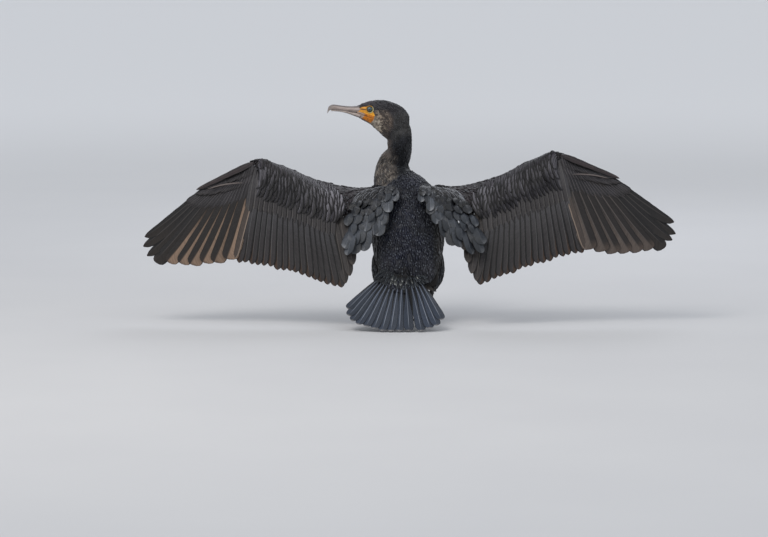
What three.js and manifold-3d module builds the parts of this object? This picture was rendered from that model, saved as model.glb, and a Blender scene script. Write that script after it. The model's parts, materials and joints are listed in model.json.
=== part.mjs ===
// A great cormorant, life size, standing with both wings held open to dry and its head turned to its left.
// Millimetres. +Z is up, +Y is the way the breast faces and +X is the bird's right.
// The bird is laid out round a point on the floor between its feet, and the group then moves the middle of
// its box to the origin.
import * as THREE from "three";
import { mergeVertices } from "three/addons/utils/BufferGeometryUtils.js";
import Module from "manifold-3d";

const wasm = await Module();
wasm.setup();
const { Manifold, Mesh } = wasm;

const V = (x, y, z) => new THREE.Vector3(x, y, z);
const radians = THREE.MathUtils.degToRad;
const lerp = THREE.MathUtils.lerp;

// A repeatable small difference between feathers, within plus or minus the amount.
let seed = 1;
function vary(amount) {
  seed = (seed * 16807) % 2147483647;
  return ((seed / 2147483647) * 2 - 1) * amount;
}

// Driving dimensions
const GAP = 0.3; // between pieces that touch
const SLIVER = 0.1; // finest step that a joined solid keeps
const BOX_MIDDLE = { x: 3, y: 12 }; // middle of the finished box in the layout's own frame

const TRUNK = { tail: V(0, -23, 115), pitch: 50, length: 245, width: 160, depth: 138 };
const NECK = { radius: 28, headCut: 386 };
const HEAD = { middleY: 125, eye: V(-82.3, 125, 450.6), eyeRadius: 6.2, lidRadius: 7.6 };
const BILL = { base: -108, tip: -174, middleY: 125 };
const TAIL = { root: V(-13, -23, 115), drop: 38 };
const LEG = { hip: V(48, 52, 160), knee: V(60, 22, 108), heel: V(50, -20, 60), foot: V(42, 18, 9), ankle: 13 };
const WING = {
  shoulder: V(-52, 86, 284),
  elbow: V(-178, 16, 257),
  wrist: V(-322, 30, 346),
  finger: V(-436, 44, 290),
  raise: 3.5, // degrees by which the right wing is held higher
};

// Geometry helpers

// A smooth curve y(x) through a few (x, y) pairs.
function through(...pairs) {
  const slope = pairs.map((p, i) => {
    const a = pairs[Math.max(0, i - 1)];
    const b = pairs[Math.min(pairs.length - 1, i + 1)];
    return (b[1] - a[1]) / (b[0] - a[0]);
  });
  return (x) => {
    let i = 0;
    while (i < pairs.length - 2 && x > pairs[i + 1][0]) i += 1;
    const span = pairs[i + 1][0] - pairs[i][0];
    const t = THREE.MathUtils.clamp((x - pairs[i][0]) / span, 0, 1);
    const rise = pairs[i + 1][1] - pairs[i][1];
    const a = slope[i] * span - rise;
    const b = rise - slope[i + 1] * span;
    return pairs[i][1] + rise * t + t * (1 - t) * (a * (1 - t) + b * t);
  };
}

// A closed skin over a row of rings that all have the same number of points, the first and last filled in.
// The sides listed in mirrored have their diagonals turned, so that both faces of a thin blade bend alike.
function skinOver(rings, mirrored = []) {
  const sides = rings[0].length;
  const points = rings.flat().flatMap((p) => [p.x, p.y, p.z]);
  const faces = [];
  const at = (ring, side) => ring * sides + (side % sides);
  for (let ring = 0; ring < rings.length - 1; ring += 1) {
    for (let side = 0; side < sides; side += 1) {
      const [a, b, c, d] = [at(ring, side), at(ring + 1, side), at(ring + 1, side + 1), at(ring, side + 1)];
      if (mirrored.includes(side)) faces.push(a, b, d, b, c, d);
      else faces.push(a, b, c, a, c, d);
    }
  }
  const last = rings.length - 1;
  for (let side = 1; side < sides - 1; side += 1) {
    faces.push(at(0, 0), at(0, side), at(0, side + 1));
    faces.push(at(last, 0), at(last, side + 1), at(last, side));
  }
  const geometry = new THREE.BufferGeometry();
  geometry.setAttribute("position", new THREE.Float32BufferAttribute(points, 3));
  geometry.setIndex(faces);
  return geometry;
}

// The solid inside a closed geometry, whichever way round its faces were written.
function solidOf(geometry) {
  const bare = geometry.clone();
  bare.deleteAttribute("normal");
  bare.deleteAttribute("uv");
  const merged = mergeVertices(bare, 1e-4);
  const spots = merged.attributes.position;
  const faces = Uint32Array.from(merged.index.array);
  const corner = (i) => V().fromBufferAttribute(spots, faces[i]);
  let volume = 0;
  for (let i = 0; i < faces.length; i += 3) volume += corner(i).dot(corner(i + 1).cross(corner(i + 2)));
  if (volume < 0) {
    for (let i = 0; i < faces.length; i += 3) [faces[i + 1], faces[i + 2]] = [faces[i + 2], faces[i + 1]];
  }
  return new Manifold(new Mesh({ numProp: 3, vertProperties: spots.array, triVerts: faces }));
}

// The largest closed body of a solid, without the slivers that joining leaves.
function largest(solid) {
  return solid.decompose().sort((a, b) => b.volume() - a.volume())[0]?.simplify(SLIVER);
}

function geometryOf(solid) {
  const mesh = solid.getMesh();
  const geometry = new THREE.BufferGeometry();
  geometry.setAttribute("position", new THREE.Float32BufferAttribute(mesh.vertProperties, 3));
  geometry.setIndex(new THREE.BufferAttribute(mesh.triVerts, 1));
  return geometry;
}

// An oval ring round a centre, from its two half axes given as vectors.
function oval(centre, across, up, sides) {
  return Array.from({ length: sides }, (_, i) => {
    const angle = (i / sides) * 2 * Math.PI;
    return centre.clone().addScaledVector(across, Math.cos(angle)).addScaledVector(up, Math.sin(angle));
  });
}

// A tube along a smooth curve. half(t) gives its half width and half height there, and side is the way the
// width lies.
function tube(points, half, side, steps, sides) {
  const curve = new THREE.CatmullRomCurve3(points, false, "centripetal");
  const rings = Array.from({ length: steps + 1 }, (_, i) => {
    const t = i / steps;
    const along = curve.getTangent(t);
    const across = side.clone().addScaledVector(along, -side.dot(along)).normalize();
    const up = V().crossVectors(along, across);
    const [wide, high] = half(t);
    return oval(curve.getPoint(t), across.multiplyScalar(wide), up.multiplyScalar(high), sides);
  });
  return skinOver(rings);
}

function block(low, high) {
  const size = high.clone().sub(low);
  const geometry = new THREE.BoxGeometry(size.x, size.y, size.z);
  return geometry.translate(...low.clone().add(high).multiplyScalar(0.5).toArray());
}

const ABOVE_FLOOR = solidOf(block(V(-900, -900, 0), V(900, 900, 900)));

// Body: trunk, neck and head

const BACK = V(0, -Math.sin(radians(TRUNK.pitch)), Math.cos(radians(TRUNK.pitch)));
const SPINE = V(0, Math.cos(radians(TRUNK.pitch)), Math.sin(radians(TRUNK.pitch)));
const RIGHT = V(1, 0, 0);

// Half width and half depth of the trunk as shares of its greatest, along its length.
const trunkWidth = through([-0.16, 0.42], [-0.08, 0.68], [0.06, 0.83], [0.25, 0.95], [0.45, 1], [0.68, 0.97],
  [0.82, 0.8], [0.94, 0.5], [1.02, 0.2]);
const trunkDepth = through([-0.16, 0.18], [-0.08, 0.4], [0.06, 0.66], [0.25, 0.9], [0.45, 1], [0.68, 1],
  [0.82, 0.86], [0.94, 0.6], [1.02, 0.26]);
const trunkBelly = through([-0.16, 2], [0.1, 8], [0.4, 18], [0.7, 14], [1.02, 0]); // sag of the middle, mm

function trunk(grow) {
  const steps = 16;
  const rings = Array.from({ length: steps + 1 }, (_, i) => {
    const t = lerp(-0.16, 1.02, i / steps);
    const end = i === 0 ? -grow : i === steps ? grow : 0;
    const centre = TRUNK.tail.clone().addScaledVector(SPINE, t * TRUNK.length + end);
    centre.addScaledVector(BACK, -trunkBelly(t));
    const wide = (trunkWidth(t) * TRUNK.width) / 2 + grow;
    const deep = (trunkDepth(t) * TRUNK.depth) / 2 + grow;
    return oval(centre, RIGHT.clone().multiplyScalar(wide), BACK.clone().multiplyScalar(deep), 20);
  });
  return solidOf(skinOver(rings));
}

// Half width and half depth of the neck, from the breast up.
const neckWidth = through([0, 52], [0.16, 51], [0.34, 45.5], [0.5, 36.5], [0.66, NECK.radius], [0.84, 28],
  [0.93, 26.5], [1, 18]);
const neckDepth = through([0, 50], [0.16, 46], [0.34, 38.5], [0.5, 33], [0.66, NECK.radius], [0.84, 28],
  [0.93, 25], [1, 16]);

function neck(grow) {
  const line = [V(-4, 92, 240), V(-17, 122, 268), V(-30, 154, 296), V(-31, 164, 326), V(-18.5, 150, 354),
    V(-18, 134, 382), V(-20, 126, 420)];
  return solidOf(tube(line, (t) => [neckWidth(t) + grow, neckDepth(t) + grow], V(1, 0.2, 0), 13, 16));
}

// The head's side outline: heights of the crown and of the chin, and its half width, from the bill back.
const crown = through([-112, 456.4], [-99, 463], [-82, 468.4], [-64, 470.5], [-47, 469.4], [-30, 464], [-13, 454.3],
  [-3, 443], [3, 430]);
const chin = through([-112, 434], [-99, 426.4], [-82, 417], [-64, 401], [-47, 386], [-30, 380], [-13, 384],
  [-3, 395], [3, 412]);
const cheek = through([-112, 8.8], [-104, 11.5], [-96, 15], [-82, 19], [-64, 22], [-47, 23], [-30, 22], [-13, 17.5],
  [-3, 12], [3, 6]);

function head() {
  const steps = 12;
  const rings = Array.from({ length: steps + 1 }, (_, i) => {
    const x = lerp(-112, 3, i / steps);
    const centre = V(x, HEAD.middleY, (crown(x) + chin(x)) / 2);
    return oval(centre, V(0, cheek(x), 0), V(0, 0, (crown(x) - chin(x)) / 2), 14);
  });
  return solidOf(skinOver(rings));
}

// Both eyelids as raised rings, with the eyeball's socket cut out of the head.
function lidRing(side) {
  const ring = new THREE.TorusGeometry(HEAD.lidRadius, 1.5, 5, 12);
  ring.rotateX(Math.PI / 2).translate(HEAD.eye.x, eyeMiddle(side).y + side * 2.3, HEAD.eye.z);
  return solidOf(ring);
}

function eyeMiddle(side) {
  return V(HEAD.eye.x, HEAD.middleY + side * (cheek(HEAD.eye.x) - 3.6), HEAD.eye.z);
}

function eyeball(side, grow) {
  const ball = new THREE.SphereGeometry(HEAD.eyeRadius + grow, 12, 8);
  ball.rotateX(Math.PI / 2).translate(...eyeMiddle(side).toArray());
  return solidOf(ball);
}

// The line of the mouth runs on from the bill into the head, below the eye.
function mouthGroove(side) {
  const start = V(-113, HEAD.middleY + side * 12, 443.2);
  const end = V(-77, HEAD.middleY + side * 21, 431.4);
  return solidOf(tube([start, start.clone().lerp(end, 0.5).add(V(0, side * 2, 1)), end], () => [2.6, 0.7],
    V(0, 1, 0), 3, 6));
}

// Bill: profile heights along it, from the base to the hook.
const culmen = through([-174, 444], [-172, 453.2], [-168.6, 457.3], [-163.6, 459.7], [-157.8, 459.9], [-149.6, 458.8],
  [-137.6, 457.3], [-120.8, 456.5], [-104, 457.6]);
const mouth = through([-174, 443.4], [-170, 447.8], [-146, 447.2], [-122.6, 444.6], [-104, 441.4]);
const lower = through([-166, 445.8], [-158, 445.4], [-146, 444.4], [-129, 440.3], [-116, 435.3], [-104, 431]);
const billWidth = through([-174, 0.9], [-172, 2.2], [-168, 3.6], [-162, 4.4], [-152, 5], [-138, 5.8], [-122, 7.6],
  [-104, 10]);

function billHalf(from, to, top, bottom, squeeze, steps) {
  const rings = Array.from({ length: steps + 1 }, (_, i) => {
    const x = lerp(from, to, i / steps);
    const [high, low] = [top(x), bottom(x)];
    const centre = V(x, BILL.middleY, (high + low) / 2);
    return oval(centre, V(0, billWidth(x) * squeeze, 0), V(0, 0, (high - low) / 2), 12);
  });
  return solidOf(skinOver(rings));
}

function upperBill() {
  const blade = billHalf(-104, -174, culmen, (x) => mouth(x) + GAP / 2, 1, 12);
  const hookPoints = [V(-168.5, BILL.middleY, 453), V(-172.2, BILL.middleY, 449.6), V(-173.8, BILL.middleY, 444)];
  const hook = solidOf(tube(hookPoints, (t) => [lerp(3, 0.6, t), lerp(3.4, 0.6, t)], V(0, 1, 0), 5, 8));
  return blade.add(hook);
}

function lowerBill() {
  return billHalf(-104, -166, (x) => mouth(x) - GAP / 2, lower, 0.9, 9);
}

// Wings. Every point is laid out for the left wing; place() carries it to the side that is being made.

function placer(side) {
  if (side < 0) return (p) => p.clone();
  const mirror = new THREE.Matrix4().makeScale(-1, 1, 1);
  const hinge = V(-WING.shoulder.x, WING.shoulder.y, WING.shoulder.z);
  const turn = new THREE.Matrix4().makeTranslation(hinge.x, hinge.y, hinge.z)
    .multiply(new THREE.Matrix4().makeRotationY(-radians(WING.raise)))
    .multiply(new THREE.Matrix4().makeTranslation(-hinge.x, -hinge.y, -hinge.z));
  return (p) => p.clone().applyMatrix4(mirror).applyMatrix4(turn);
}

// Front edge and rear edge of the fleshy arm, shoulder to fingertip, and its thickness.
const ARM_FRONT = [V(-34, 104, 284), V(-74, 96, 283), V(-112, 88, 282), V(-168, 75, 294), V(-211, 64, 308),
  V(-254, 54, 329), V(-288, 46, 341), V(-322, 38, 350), V(-361, 44, 325), V(-395, 50, 305), V(-440, 54, 289)];
const ARM_REAR = [V(-30, 40, 228), V(-74, 32, 228), V(-120, 18, 232), V(-182, 2, 238), V(-214, 4, 256),
  V(-252, 8, 279), V(-286, 14, 303), V(-318, 22, 320), V(-356, 30, 300), V(-392, 38, 291), V(-436, 50, 282)];
const armThickness = through([0, 44], [0.2, 36], [0.35, 28], [0.55, 22], [0.72, 19], [0.86, 13], [1, 6]);
const frontCurve = new THREE.CatmullRomCurve3(ARM_FRONT, false, "centripetal");
const rearCurve = new THREE.CatmullRomCurve3(ARM_REAR, false, "centripetal");

function armPlate(place) {
  const steps = 11;
  const rings = Array.from({ length: steps + 1 }, (_, i) => {
    const t = i / steps;
    const [front, rear] = [frontCurve.getPoint(t), rearCurve.getPoint(t)];
    const chord = front.clone().sub(rear).multiplyScalar(0.5);
    const span = frontCurve.getTangent(t);
    const up = V().crossVectors(span, chord).normalize().multiplyScalar(armThickness(t) / 2);
    return oval(front.clone().add(rear).multiplyScalar(0.5), chord, up, 8).map(place);
  });
  return solidOf(skinOver(rings));
}

// A feather's vane: a thin blade with its shaft as a ridge on the upper face, bowed from root to tip. up looks
// out of the upper face, and lean turns the blade about its own length, in degrees, to lap over its neighbour.
const VANE = { edge: 0.66, ridge: 0.7 };
const ROUNDED = [[0, 0.5], [0.45, 0.94], [0.9, 1], [0.975, 0.66], [1, 0.22]];
const POINTED = [[0, 0.45], [0.5, 0.92], [0.86, 1], [0.96, 0.6], [1, 0.16]];
const BROAD = [[0, 0.6], [0.7, 1], [0.92, 0.74], [1, 0.26]];

function vane({ root, tip, up, bow = 4, width, lean = 0, shape = ROUNDED, place = (p) => p.clone() }) {
  const middle = root.clone().lerp(tip, 0.5).addScaledVector(up, bow * 2);
  const axis = new THREE.QuadraticBezierCurve3(root, middle, tip);
  const rings = shape.map(([t, share]) => {
    const along = axis.getTangent(t);
    const side = V().crossVectors(along, up).normalize();
    const lifted = V().crossVectors(side, along);
    const turn = radians(lean) * Math.min(1, t * 2.5);
    const across = side.clone().multiplyScalar(Math.cos(turn)).addScaledVector(lifted, Math.sin(turn));
    const face = V().crossVectors(across, along);
    const half = (width / 2) * share;
    const spot = (s, rise) => axis.getPoint(t).addScaledVector(across, s * half).addScaledVector(face, rise);
    const [low, high] = [-VANE.edge / 2, VANE.edge / 2];
    return [spot(-1, high), spot(-0.12, high + VANE.ridge), spot(1, high), spot(1, low), spot(-1, low)].map(place);
  });
  return solidOf(skinOver(rings, [3]));
}

// A point of the arm: t runs from shoulder to fingertip, c from the front edge to the rear, and rise is the
// share of the half thickness above the middle.
function armPoint(t, c, rise) {
  const [front, rear] = [frontCurve.getPoint(t), rearCurve.getPoint(t)];
  const chord = front.clone().sub(rear);
  const up = V().crossVectors(frontCurve.getTangent(t), chord).normalize();
  const deep = (armThickness(t) / 2) * Math.sqrt(Math.max(0, 1 - (2 * c - 1) ** 2));
  return front.lerp(rear, c).addScaledVector(up, (up.y > 0 ? -1 : 1) * rise * deep);
}

// Flight feathers of the open wing: a fan of primaries, then the straight row of secondaries.
const PRIMARY = {
  count: 10,
  angle: through([0, 17.6], [0.22, 28.5], [0.56, 42.4], [0.67, 46], [1, 56.6]), // from straight down, degrees
  reach: through([17.6, 216], [30, 249], [43, 292], [47, 309], [53, 307], [56.6, 291]),
};
const SECONDARY = { count: 17, outerTip: V(-362, -22, 133), innerTip: V(-142, -60, 82) };
const TERTIALS = [[0.27, V(-132, -60, 93)], [0.245, V(-122, -60, 112)], [0.22, V(-117, -56, 136)]];
const WING_UP = V(0, -0.93, 0.37);
const LAP = -11;

function primary(i) {
  const t = i / (PRIMARY.count - 1);
  const angle = PRIMARY.angle(t);
  const reach = PRIMARY.reach(angle) + vary(3);
  const [sin, cos] = [Math.sin(radians(angle)), Math.cos(radians(angle))];
  const tip = V(WING.wrist.x - reach * sin, lerp(-22, 16, t), WING.wrist.z - reach * cos);
  return { root: WING.wrist.clone().lerp(WING.finger, lerp(0.07, 0.93, t)), tip };
}

function secondary(i) {
  const t = i / (SECONDARY.count - 1);
  const tip = SECONDARY.outerTip.clone().lerp(SECONDARY.innerTip, t);
  tip.add(V(vary(1.5), 0, 6 * Math.sin(Math.PI * t) + vary(3)));
  return { root: armPoint(lerp(0.71, 0.3, t), 0.78, 0), tip };
}

// A covert lies on the feather under it: its tip is the share reach of the way down that feather.
function covert(under, t, c, rise, reach, lift, width, place) {
  const root = armPoint(t, c, rise);
  const tip = under.root.clone().lerp(under.tip, reach + vary(0.012)).addScaledVector(WING_UP, lift);
  return vane({ root, tip, up: WING_UP, bow: 2.5, width: width + vary(0.8), lean: LAP, shape: BROAD, place });
}

function flightFeathers(place) {
  const pieces = [];
  for (let i = 0; i < PRIMARY.count; i += 1) {
    const t = i / (PRIMARY.count - 1);
    const feather = primary(i);
    const up = V(0.1, -0.97, 0.2).normalize();
    pieces.push(vane({ ...feather, up, bow: 3, width: lerp(25, 23, t), lean: LAP, shape: POINTED, place }));
    if (i % 2 === 0) pieces.push(covert(feather, lerp(0.74, 0.95, t), 0.6, 0.9, lerp(0.4, 0.34, t), 9, 22, place));
  }
  for (let i = 0; i < SECONDARY.count; i += 1) {
    const t = i / (SECONDARY.count - 1);
    const feather = secondary(i);
    pieces.push(vane({ ...feather, up: WING_UP, bow: 5, width: 17.5 + vary(0.8), lean: LAP, place }));
    const span = lerp(0.71, 0.3, t);
    pieces.push(covert(feather, span, 0.66, 0.9, lerp(0.46, 0.4, t), 8, 15, place));
  }
  for (const [span, tip] of TERTIALS) {
    pieces.push(vane({ root: armPoint(span, 0.78, 0), tip, up: WING_UP, bow: 5, width: 20, lean: LAP, place }));
  }
  return pieces;
}

// The shoulder's feather pad, from which the scapulars hang over the back and the root of the wing.
function shoulderPad(place) {
  const pad = new THREE.SphereGeometry(1, 10, 7).scale(46, 24, 17).rotateX(radians(-30));
  pad.translate(-70, 64, 275);
  const spots = pad.attributes.position;
  for (let i = 0; i < spots.count; i += 1) {
    const p = place(V().fromBufferAttribute(spots, i));
    spots.setXYZ(i, p.x, p.y, p.z);
  }
  return solidOf(pad);
}

// Tips of the longest scapulars, from the back outwards to the wing, and the tiers that lie on them.
const SCAPULAR_TIPS = new THREE.CatmullRomCurve3([V(-27, 14, 258), V(-42, -4, 231), V(-58, -22, 196), V(-80, -42, 170),
  V(-98, -50, 158), V(-120, -55, 150), V(-140, -58, 144)]);
const SCAPULAR_TIERS = [
  { count: 6, share: 1, lift: 0, width: 25 },
  { count: 5, share: 0.66, lift: 8, width: 24 },
];

function scapulars(place) {
  return SCAPULAR_TIERS.flatMap(({ count, share, lift, width }) => Array.from({ length: count }, (_, i) => {
    const t = (i + (share < 1 ? 0.4 : 0)) / (count - 1 + (share < 1 ? 0.8 : 0));
    const root = V(lerp(-38, -102, t), lerp(56, 48, t), lerp(287, 280, t)).addScaledVector(BACK, lift * 0.8);
    const far = SCAPULAR_TIPS.getPoint(t);
    const tip = root.clone().lerp(far, share + vary(0.02)).addScaledVector(BACK, lift + 2);
    return vane({ root, tip, up: BACK, bow: 9, width: width + vary(1), lean: -11, shape: BROAD, place });
  }));
}

function wing(side, clear) {
  seed = side < 0 ? 11 : 29;
  const place = placer(side);
  const pieces = [armPlate(place), shoulderPad(place), ...flightFeathers(place), ...scapulars(place)];
  return largest(Manifold.union(pieces).subtract(clear));
}

// Tail: a fleshy root and a fan of feathers that reaches down to the floor.

const tailAlong = V(0, -Math.cos(radians(TAIL.drop)), -Math.sin(radians(TAIL.drop)));
const tailUp = V(0, -Math.sin(radians(TAIL.drop)), Math.cos(radians(TAIL.drop)));

// Direction of each tail feather from straight back, in degrees to the bird's right, and its reach.
const RECTRICES = [[-44, 163], [-39.5, 179], [-34.5, 187], [-29.3, 191], [-24, 189], [-18.5, 189], [-13, 193],
  [-7.5, 190], [-2, 188.5], [4.4, 188.8], [12.3, 193.5], [18.3, 188], [23.5, 185], [28.8, 173]];
const ROOT_SPREAD = 0.62; // mm outwards at the root for each degree from the middle of the fan
const SQUARE = [[0, 0.5], [0.6, 0.85], [0.92, 1], [0.985, 0.7], [1, 0.34]];
const TOP_RECTRIX = 8;

function tailRay(angle, reach, rise) {
  const along = tailAlong.clone().multiplyScalar(Math.cos(radians(angle)));
  along.addScaledVector(RIGHT, Math.sin(radians(angle)));
  return TAIL.root.clone().addScaledVector(along, reach).addScaledVector(tailUp, rise);
}

function tailRoot() {
  const line = [0, 0.5, 1].map((t) => tailRay(-9, lerp(0, 74, t), 0));
  return solidOf(tube(line, (t) => [lerp(46, 38, t), lerp(20, 4, t)], RIGHT, 5, 12));
}

function tail(clear) {
  seed = 5;
  const vanes = RECTRICES.map(([angle, reach], i) => {
    const outward = i - TOP_RECTRIX;
    const rise = 3 - Math.abs(outward) * 0.35;
    const lean = outward === 0 ? 0 : Math.sign(outward) * 6;
    const [root, tip] = [tailRay(angle, 26, rise * 0.5), tailRay(angle, reach, rise)];
    root.addScaledVector(RIGHT, (angle + 4) * ROOT_SPREAD);
    return vane({ root, tip, up: tailUp, bow: 1.5, width: 22 + vary(1), lean, shape: SQUARE });
  });
  return largest(Manifold.union([tailRoot(), ...vanes]).subtract(clear).intersect(ABOVE_FLOOR));
}

// Legs and feet, laid out for the right side.

function thigh(side, clear) {
  const line = [LEG.hip, LEG.knee, LEG.heel.clone().add(V(0, 2, 8))].map((p) => V(p.x * side, p.y, p.z));
  const half = through([0, 34], [0.3, 31], [0.6, 24], [0.85, 13], [1, 8]);
  return largest(solidOf(tube(line, (t) => [half(t) * 0.7, half(t)], RIGHT, 8, 14)).subtract(clear));
}

function shank(side) {
  const line = [LEG.heel.clone().add(V(0, 1, 5)), LEG.heel, LEG.heel.clone().lerp(LEG.foot, 0.5), LEG.foot]
    .map((p) => V(p.x * side, p.y, p.z));
  const half = through([0, 5.2], [0.15, 6.4], [0.5, 4.6], [0.85, 5], [1, 6]);
  return solidOf(tube(line, (t) => [half(t) * 0.75, half(t) * 1.15], RIGHT, 8, 10));
}

// Four toes joined by one web: length and direction outwards from straight ahead, in degrees.
const TOES = [
  { name: "outer", length: 94, turn: 21, thick: 4.6 },
  { name: "middle", length: 82, turn: 1, thick: 4.8 },
  { name: "inner", length: 58, turn: -20, thick: 4.6 },
  { name: "hind", length: 31, turn: -84, thick: 4 },
];
const WEB = 1.6;

function toeTip(toe, share) {
  const turn = radians(toe.turn);
  return V(LEG.foot.x + toe.length * share * Math.sin(turn), LEG.foot.y + toe.length * share * Math.cos(turn), 0);
}

function foot(side) {
  const place = (p) => V(p.x * side, p.y, p.z);
  const pieces = TOES.map((toe) => {
    const line = [0, 0.35, 0.7, 1].map((share) => toeTip(toe, share * 0.94).setZ(lerp(3.6, 2.2, share)));
    const half = (t) => [toe.thick * lerp(1, 0.55, t), toe.thick * lerp(1, 0.6, t)];
    return solidOf(tube(line.map(place), half, V(1, -1, 0), 3, 6));
  });
  for (const toe of TOES) {
    const line = [toeTip(toe, 0.9).setZ(2.6), toeTip(toe, 1).setZ(4.2), toeTip(toe, 1.08).setZ(0.6)];
    pieces.push(solidOf(tube(line.map(place), (t) => [lerp(2, 0.6, t), lerp(2.4, 0.6, t)], V(1, -1, 0), 2, 5)));
  }
  const edge = [toeTip(TOES[0], 0), ...TOES.map((toe) => toeTip(toe, 0.93))];
  const outline = new THREE.Shape();
  outline.moveTo(LEG.foot.x, LEG.foot.y - 6);
  edge.slice(1).forEach((tip, i, tips) => {
    if (i === 0) outline.lineTo(tip.x, tip.y);
    else {
      const inward = tip.clone().add(tips[i - 1]).multiplyScalar(0.5).lerp(LEG.foot, 0.14);
      outline.quadraticCurveTo(inward.x, inward.y, tip.x, tip.y);
    }
  });
  outline.closePath();
  const web = new THREE.ExtrudeGeometry(outline, { depth: WEB, bevelEnabled: false, curveSegments: 3 });
  web.scale(side, 1, 1);
  pieces.push(solidOf(web));
  pieces.push(solidOf(new THREE.SphereGeometry(8, 8, 6).translate(LEG.foot.x * side, LEG.foot.y, 7)));
  return largest(Manifold.union(pieces).intersect(ABOVE_FLOOR));
}

// Assembly

const COLOURS = {
  plumage: { color: 0x15171f, roughness: 0.5 },
  flight: { color: 0x2c2927, roughness: 0.6 },
  tailFeathers: { color: 0x333a45, roughness: 0.55 },
  billHorn: { color: 0x8d8880, roughness: 0.45 },
  eye: { color: 0x0f3f38, roughness: 0.08 },
  legSkin: { color: 0x111113, roughness: 0.5 },
};

const bird = new THREE.Group();
bird.position.set(-BOX_MIDDLE.x, -BOX_MIDDLE.y, 0);

function add(name, solid, finish) {
  const material = new THREE.MeshStandardMaterial({ metalness: 0, ...finish });
  const mesh = new THREE.Mesh(geometryOf(solid), material);
  mesh.name = name;
  bird.add(mesh);
}

// A thin slab across the neck that parts one piece from the next.
function cutAcross(point, along, solid) {
  const direction = along.clone().normalize();
  const offset = direction.dot(point);
  const above = solid.trimByPlane(direction.toArray(), offset + GAP / 2);
  const below = solid.trimByPlane(direction.clone().negate().toArray(), -offset + GAP / 2);
  return [largest(below), largest(above)];
}

const roomForTrunk = trunk(GAP + 0.15);
const wholeNeck = neck(0);
const sockets = Manifold.union([-1, 1].map((side) => eyeball(side, GAP)));
const grooves = Manifold.union([-1, 1].map(mouthGroove));
const lids = Manifold.union([-1, 1].map(lidRing));
const [neckPiece, headTop] = cutAcross(V(-20, 130, NECK.headCut), V(0.15, -0.25, 1), wholeNeck.add(head()));
const upper = upperBill();
const lowerHalf = lowerBill();
const billRoom = solidOf(block(V(-200, 60, 390), V(BILL.base, 190, 500)));

add("torso", trunk(0), COLOURS.plumage);
add("neck", largest(neckPiece.subtract(roomForTrunk)), COLOURS.plumage);
add("head", largest(headTop.add(lids).subtract(sockets).subtract(grooves).subtract(billRoom)), COLOURS.plumage);
for (const [name, side] of [["left", -1], ["right", 1]]) add(`eye_${name}`, eyeball(side, 0), COLOURS.eye);
const billFront = solidOf(block(V(-200, 60, 390), V(BILL.base - GAP, 190, 500)));
add("bill_upper", largest(upper.intersect(billFront)), COLOURS.billHorn);
add("bill_lower", largest(lowerHalf.intersect(billFront).subtract(upper)), COLOURS.billHorn);
const roomForWings = roomForTrunk.add(neck(GAP + 0.15));
for (const [name, side] of [["left", -1], ["right", 1]]) {
  add(`wing_${name}`, wing(side, roomForWings), COLOURS.flight);
  const hock = V(LEG.heel.x * side, LEG.heel.y + 1, LEG.heel.z + 5);
  const ankle = V(LEG.foot.x * side, LEG.foot.y, LEG.ankle);
  const upward = LEG.knee.clone().sub(LEG.heel).setX(0);
  const [, thighPiece] = cutAcross(hock, upward, thigh(side, roomForTrunk));
  const [legPiece] = cutAcross(hock, upward, shank(side));
  const [, shankPiece] = cutAcross(ankle, V(0, 0, 1), legPiece);
  const [footPiece] = cutAcross(ankle, V(0, 0, 1), foot(side));
  add(`thigh_${name}`, thighPiece, COLOURS.plumage);
  add(`shank_${name}`, shankPiece, COLOURS.legSkin);
  add(`foot_${name}`, footPiece, COLOURS.legSkin);
}
add("tail", tail(roomForTrunk), COLOURS.tailFeathers);

export default bird;
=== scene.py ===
"""A life-size great cormorant drying its wings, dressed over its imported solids.

The bird is laid out in millimetres round a point on the floor between its feet: +X is its right, +Y the way
its breast faces and +Z up. Layout.to_row() carries that frame into the row frame, in metres.
"""

from __future__ import annotations

import json
import logging
import math
from dataclasses import dataclass, field
from enum import Enum, IntEnum
from typing import Callable, Iterable, Sequence

import bmesh
import bpy
import numpy as np
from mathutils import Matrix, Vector

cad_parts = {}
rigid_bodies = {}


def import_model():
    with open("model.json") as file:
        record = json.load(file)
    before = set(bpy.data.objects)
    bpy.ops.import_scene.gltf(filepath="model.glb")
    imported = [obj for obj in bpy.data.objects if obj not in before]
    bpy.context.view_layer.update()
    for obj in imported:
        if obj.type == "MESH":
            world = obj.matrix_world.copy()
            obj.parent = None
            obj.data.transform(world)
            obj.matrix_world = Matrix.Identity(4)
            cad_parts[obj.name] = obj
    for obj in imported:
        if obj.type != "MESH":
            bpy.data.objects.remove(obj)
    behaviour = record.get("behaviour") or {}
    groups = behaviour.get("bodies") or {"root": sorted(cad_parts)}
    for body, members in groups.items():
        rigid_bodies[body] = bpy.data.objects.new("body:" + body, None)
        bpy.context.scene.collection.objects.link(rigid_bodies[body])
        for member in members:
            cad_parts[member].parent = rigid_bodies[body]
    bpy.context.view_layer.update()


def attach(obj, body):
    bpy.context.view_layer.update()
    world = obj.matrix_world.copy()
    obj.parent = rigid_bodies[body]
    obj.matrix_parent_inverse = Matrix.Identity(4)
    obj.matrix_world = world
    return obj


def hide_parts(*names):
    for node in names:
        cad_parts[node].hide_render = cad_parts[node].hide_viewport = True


LOG = logging.getLogger("cormorant")
BODY = "root"
Array = np.ndarray
Piece = bpy.types.Object


def vec(x: float, y: float, z: float) -> Array:
    """Makes a point or direction: x to the bird's right, y to its breast and z up."""
    return np.array([x, y, z], float)


def unit(v: Array) -> Array:
    """Scales a vector, or each of a stack, to length one."""
    return v / np.maximum(np.linalg.norm(v, axis=-1, keepdims=True), 1e-9)


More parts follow.
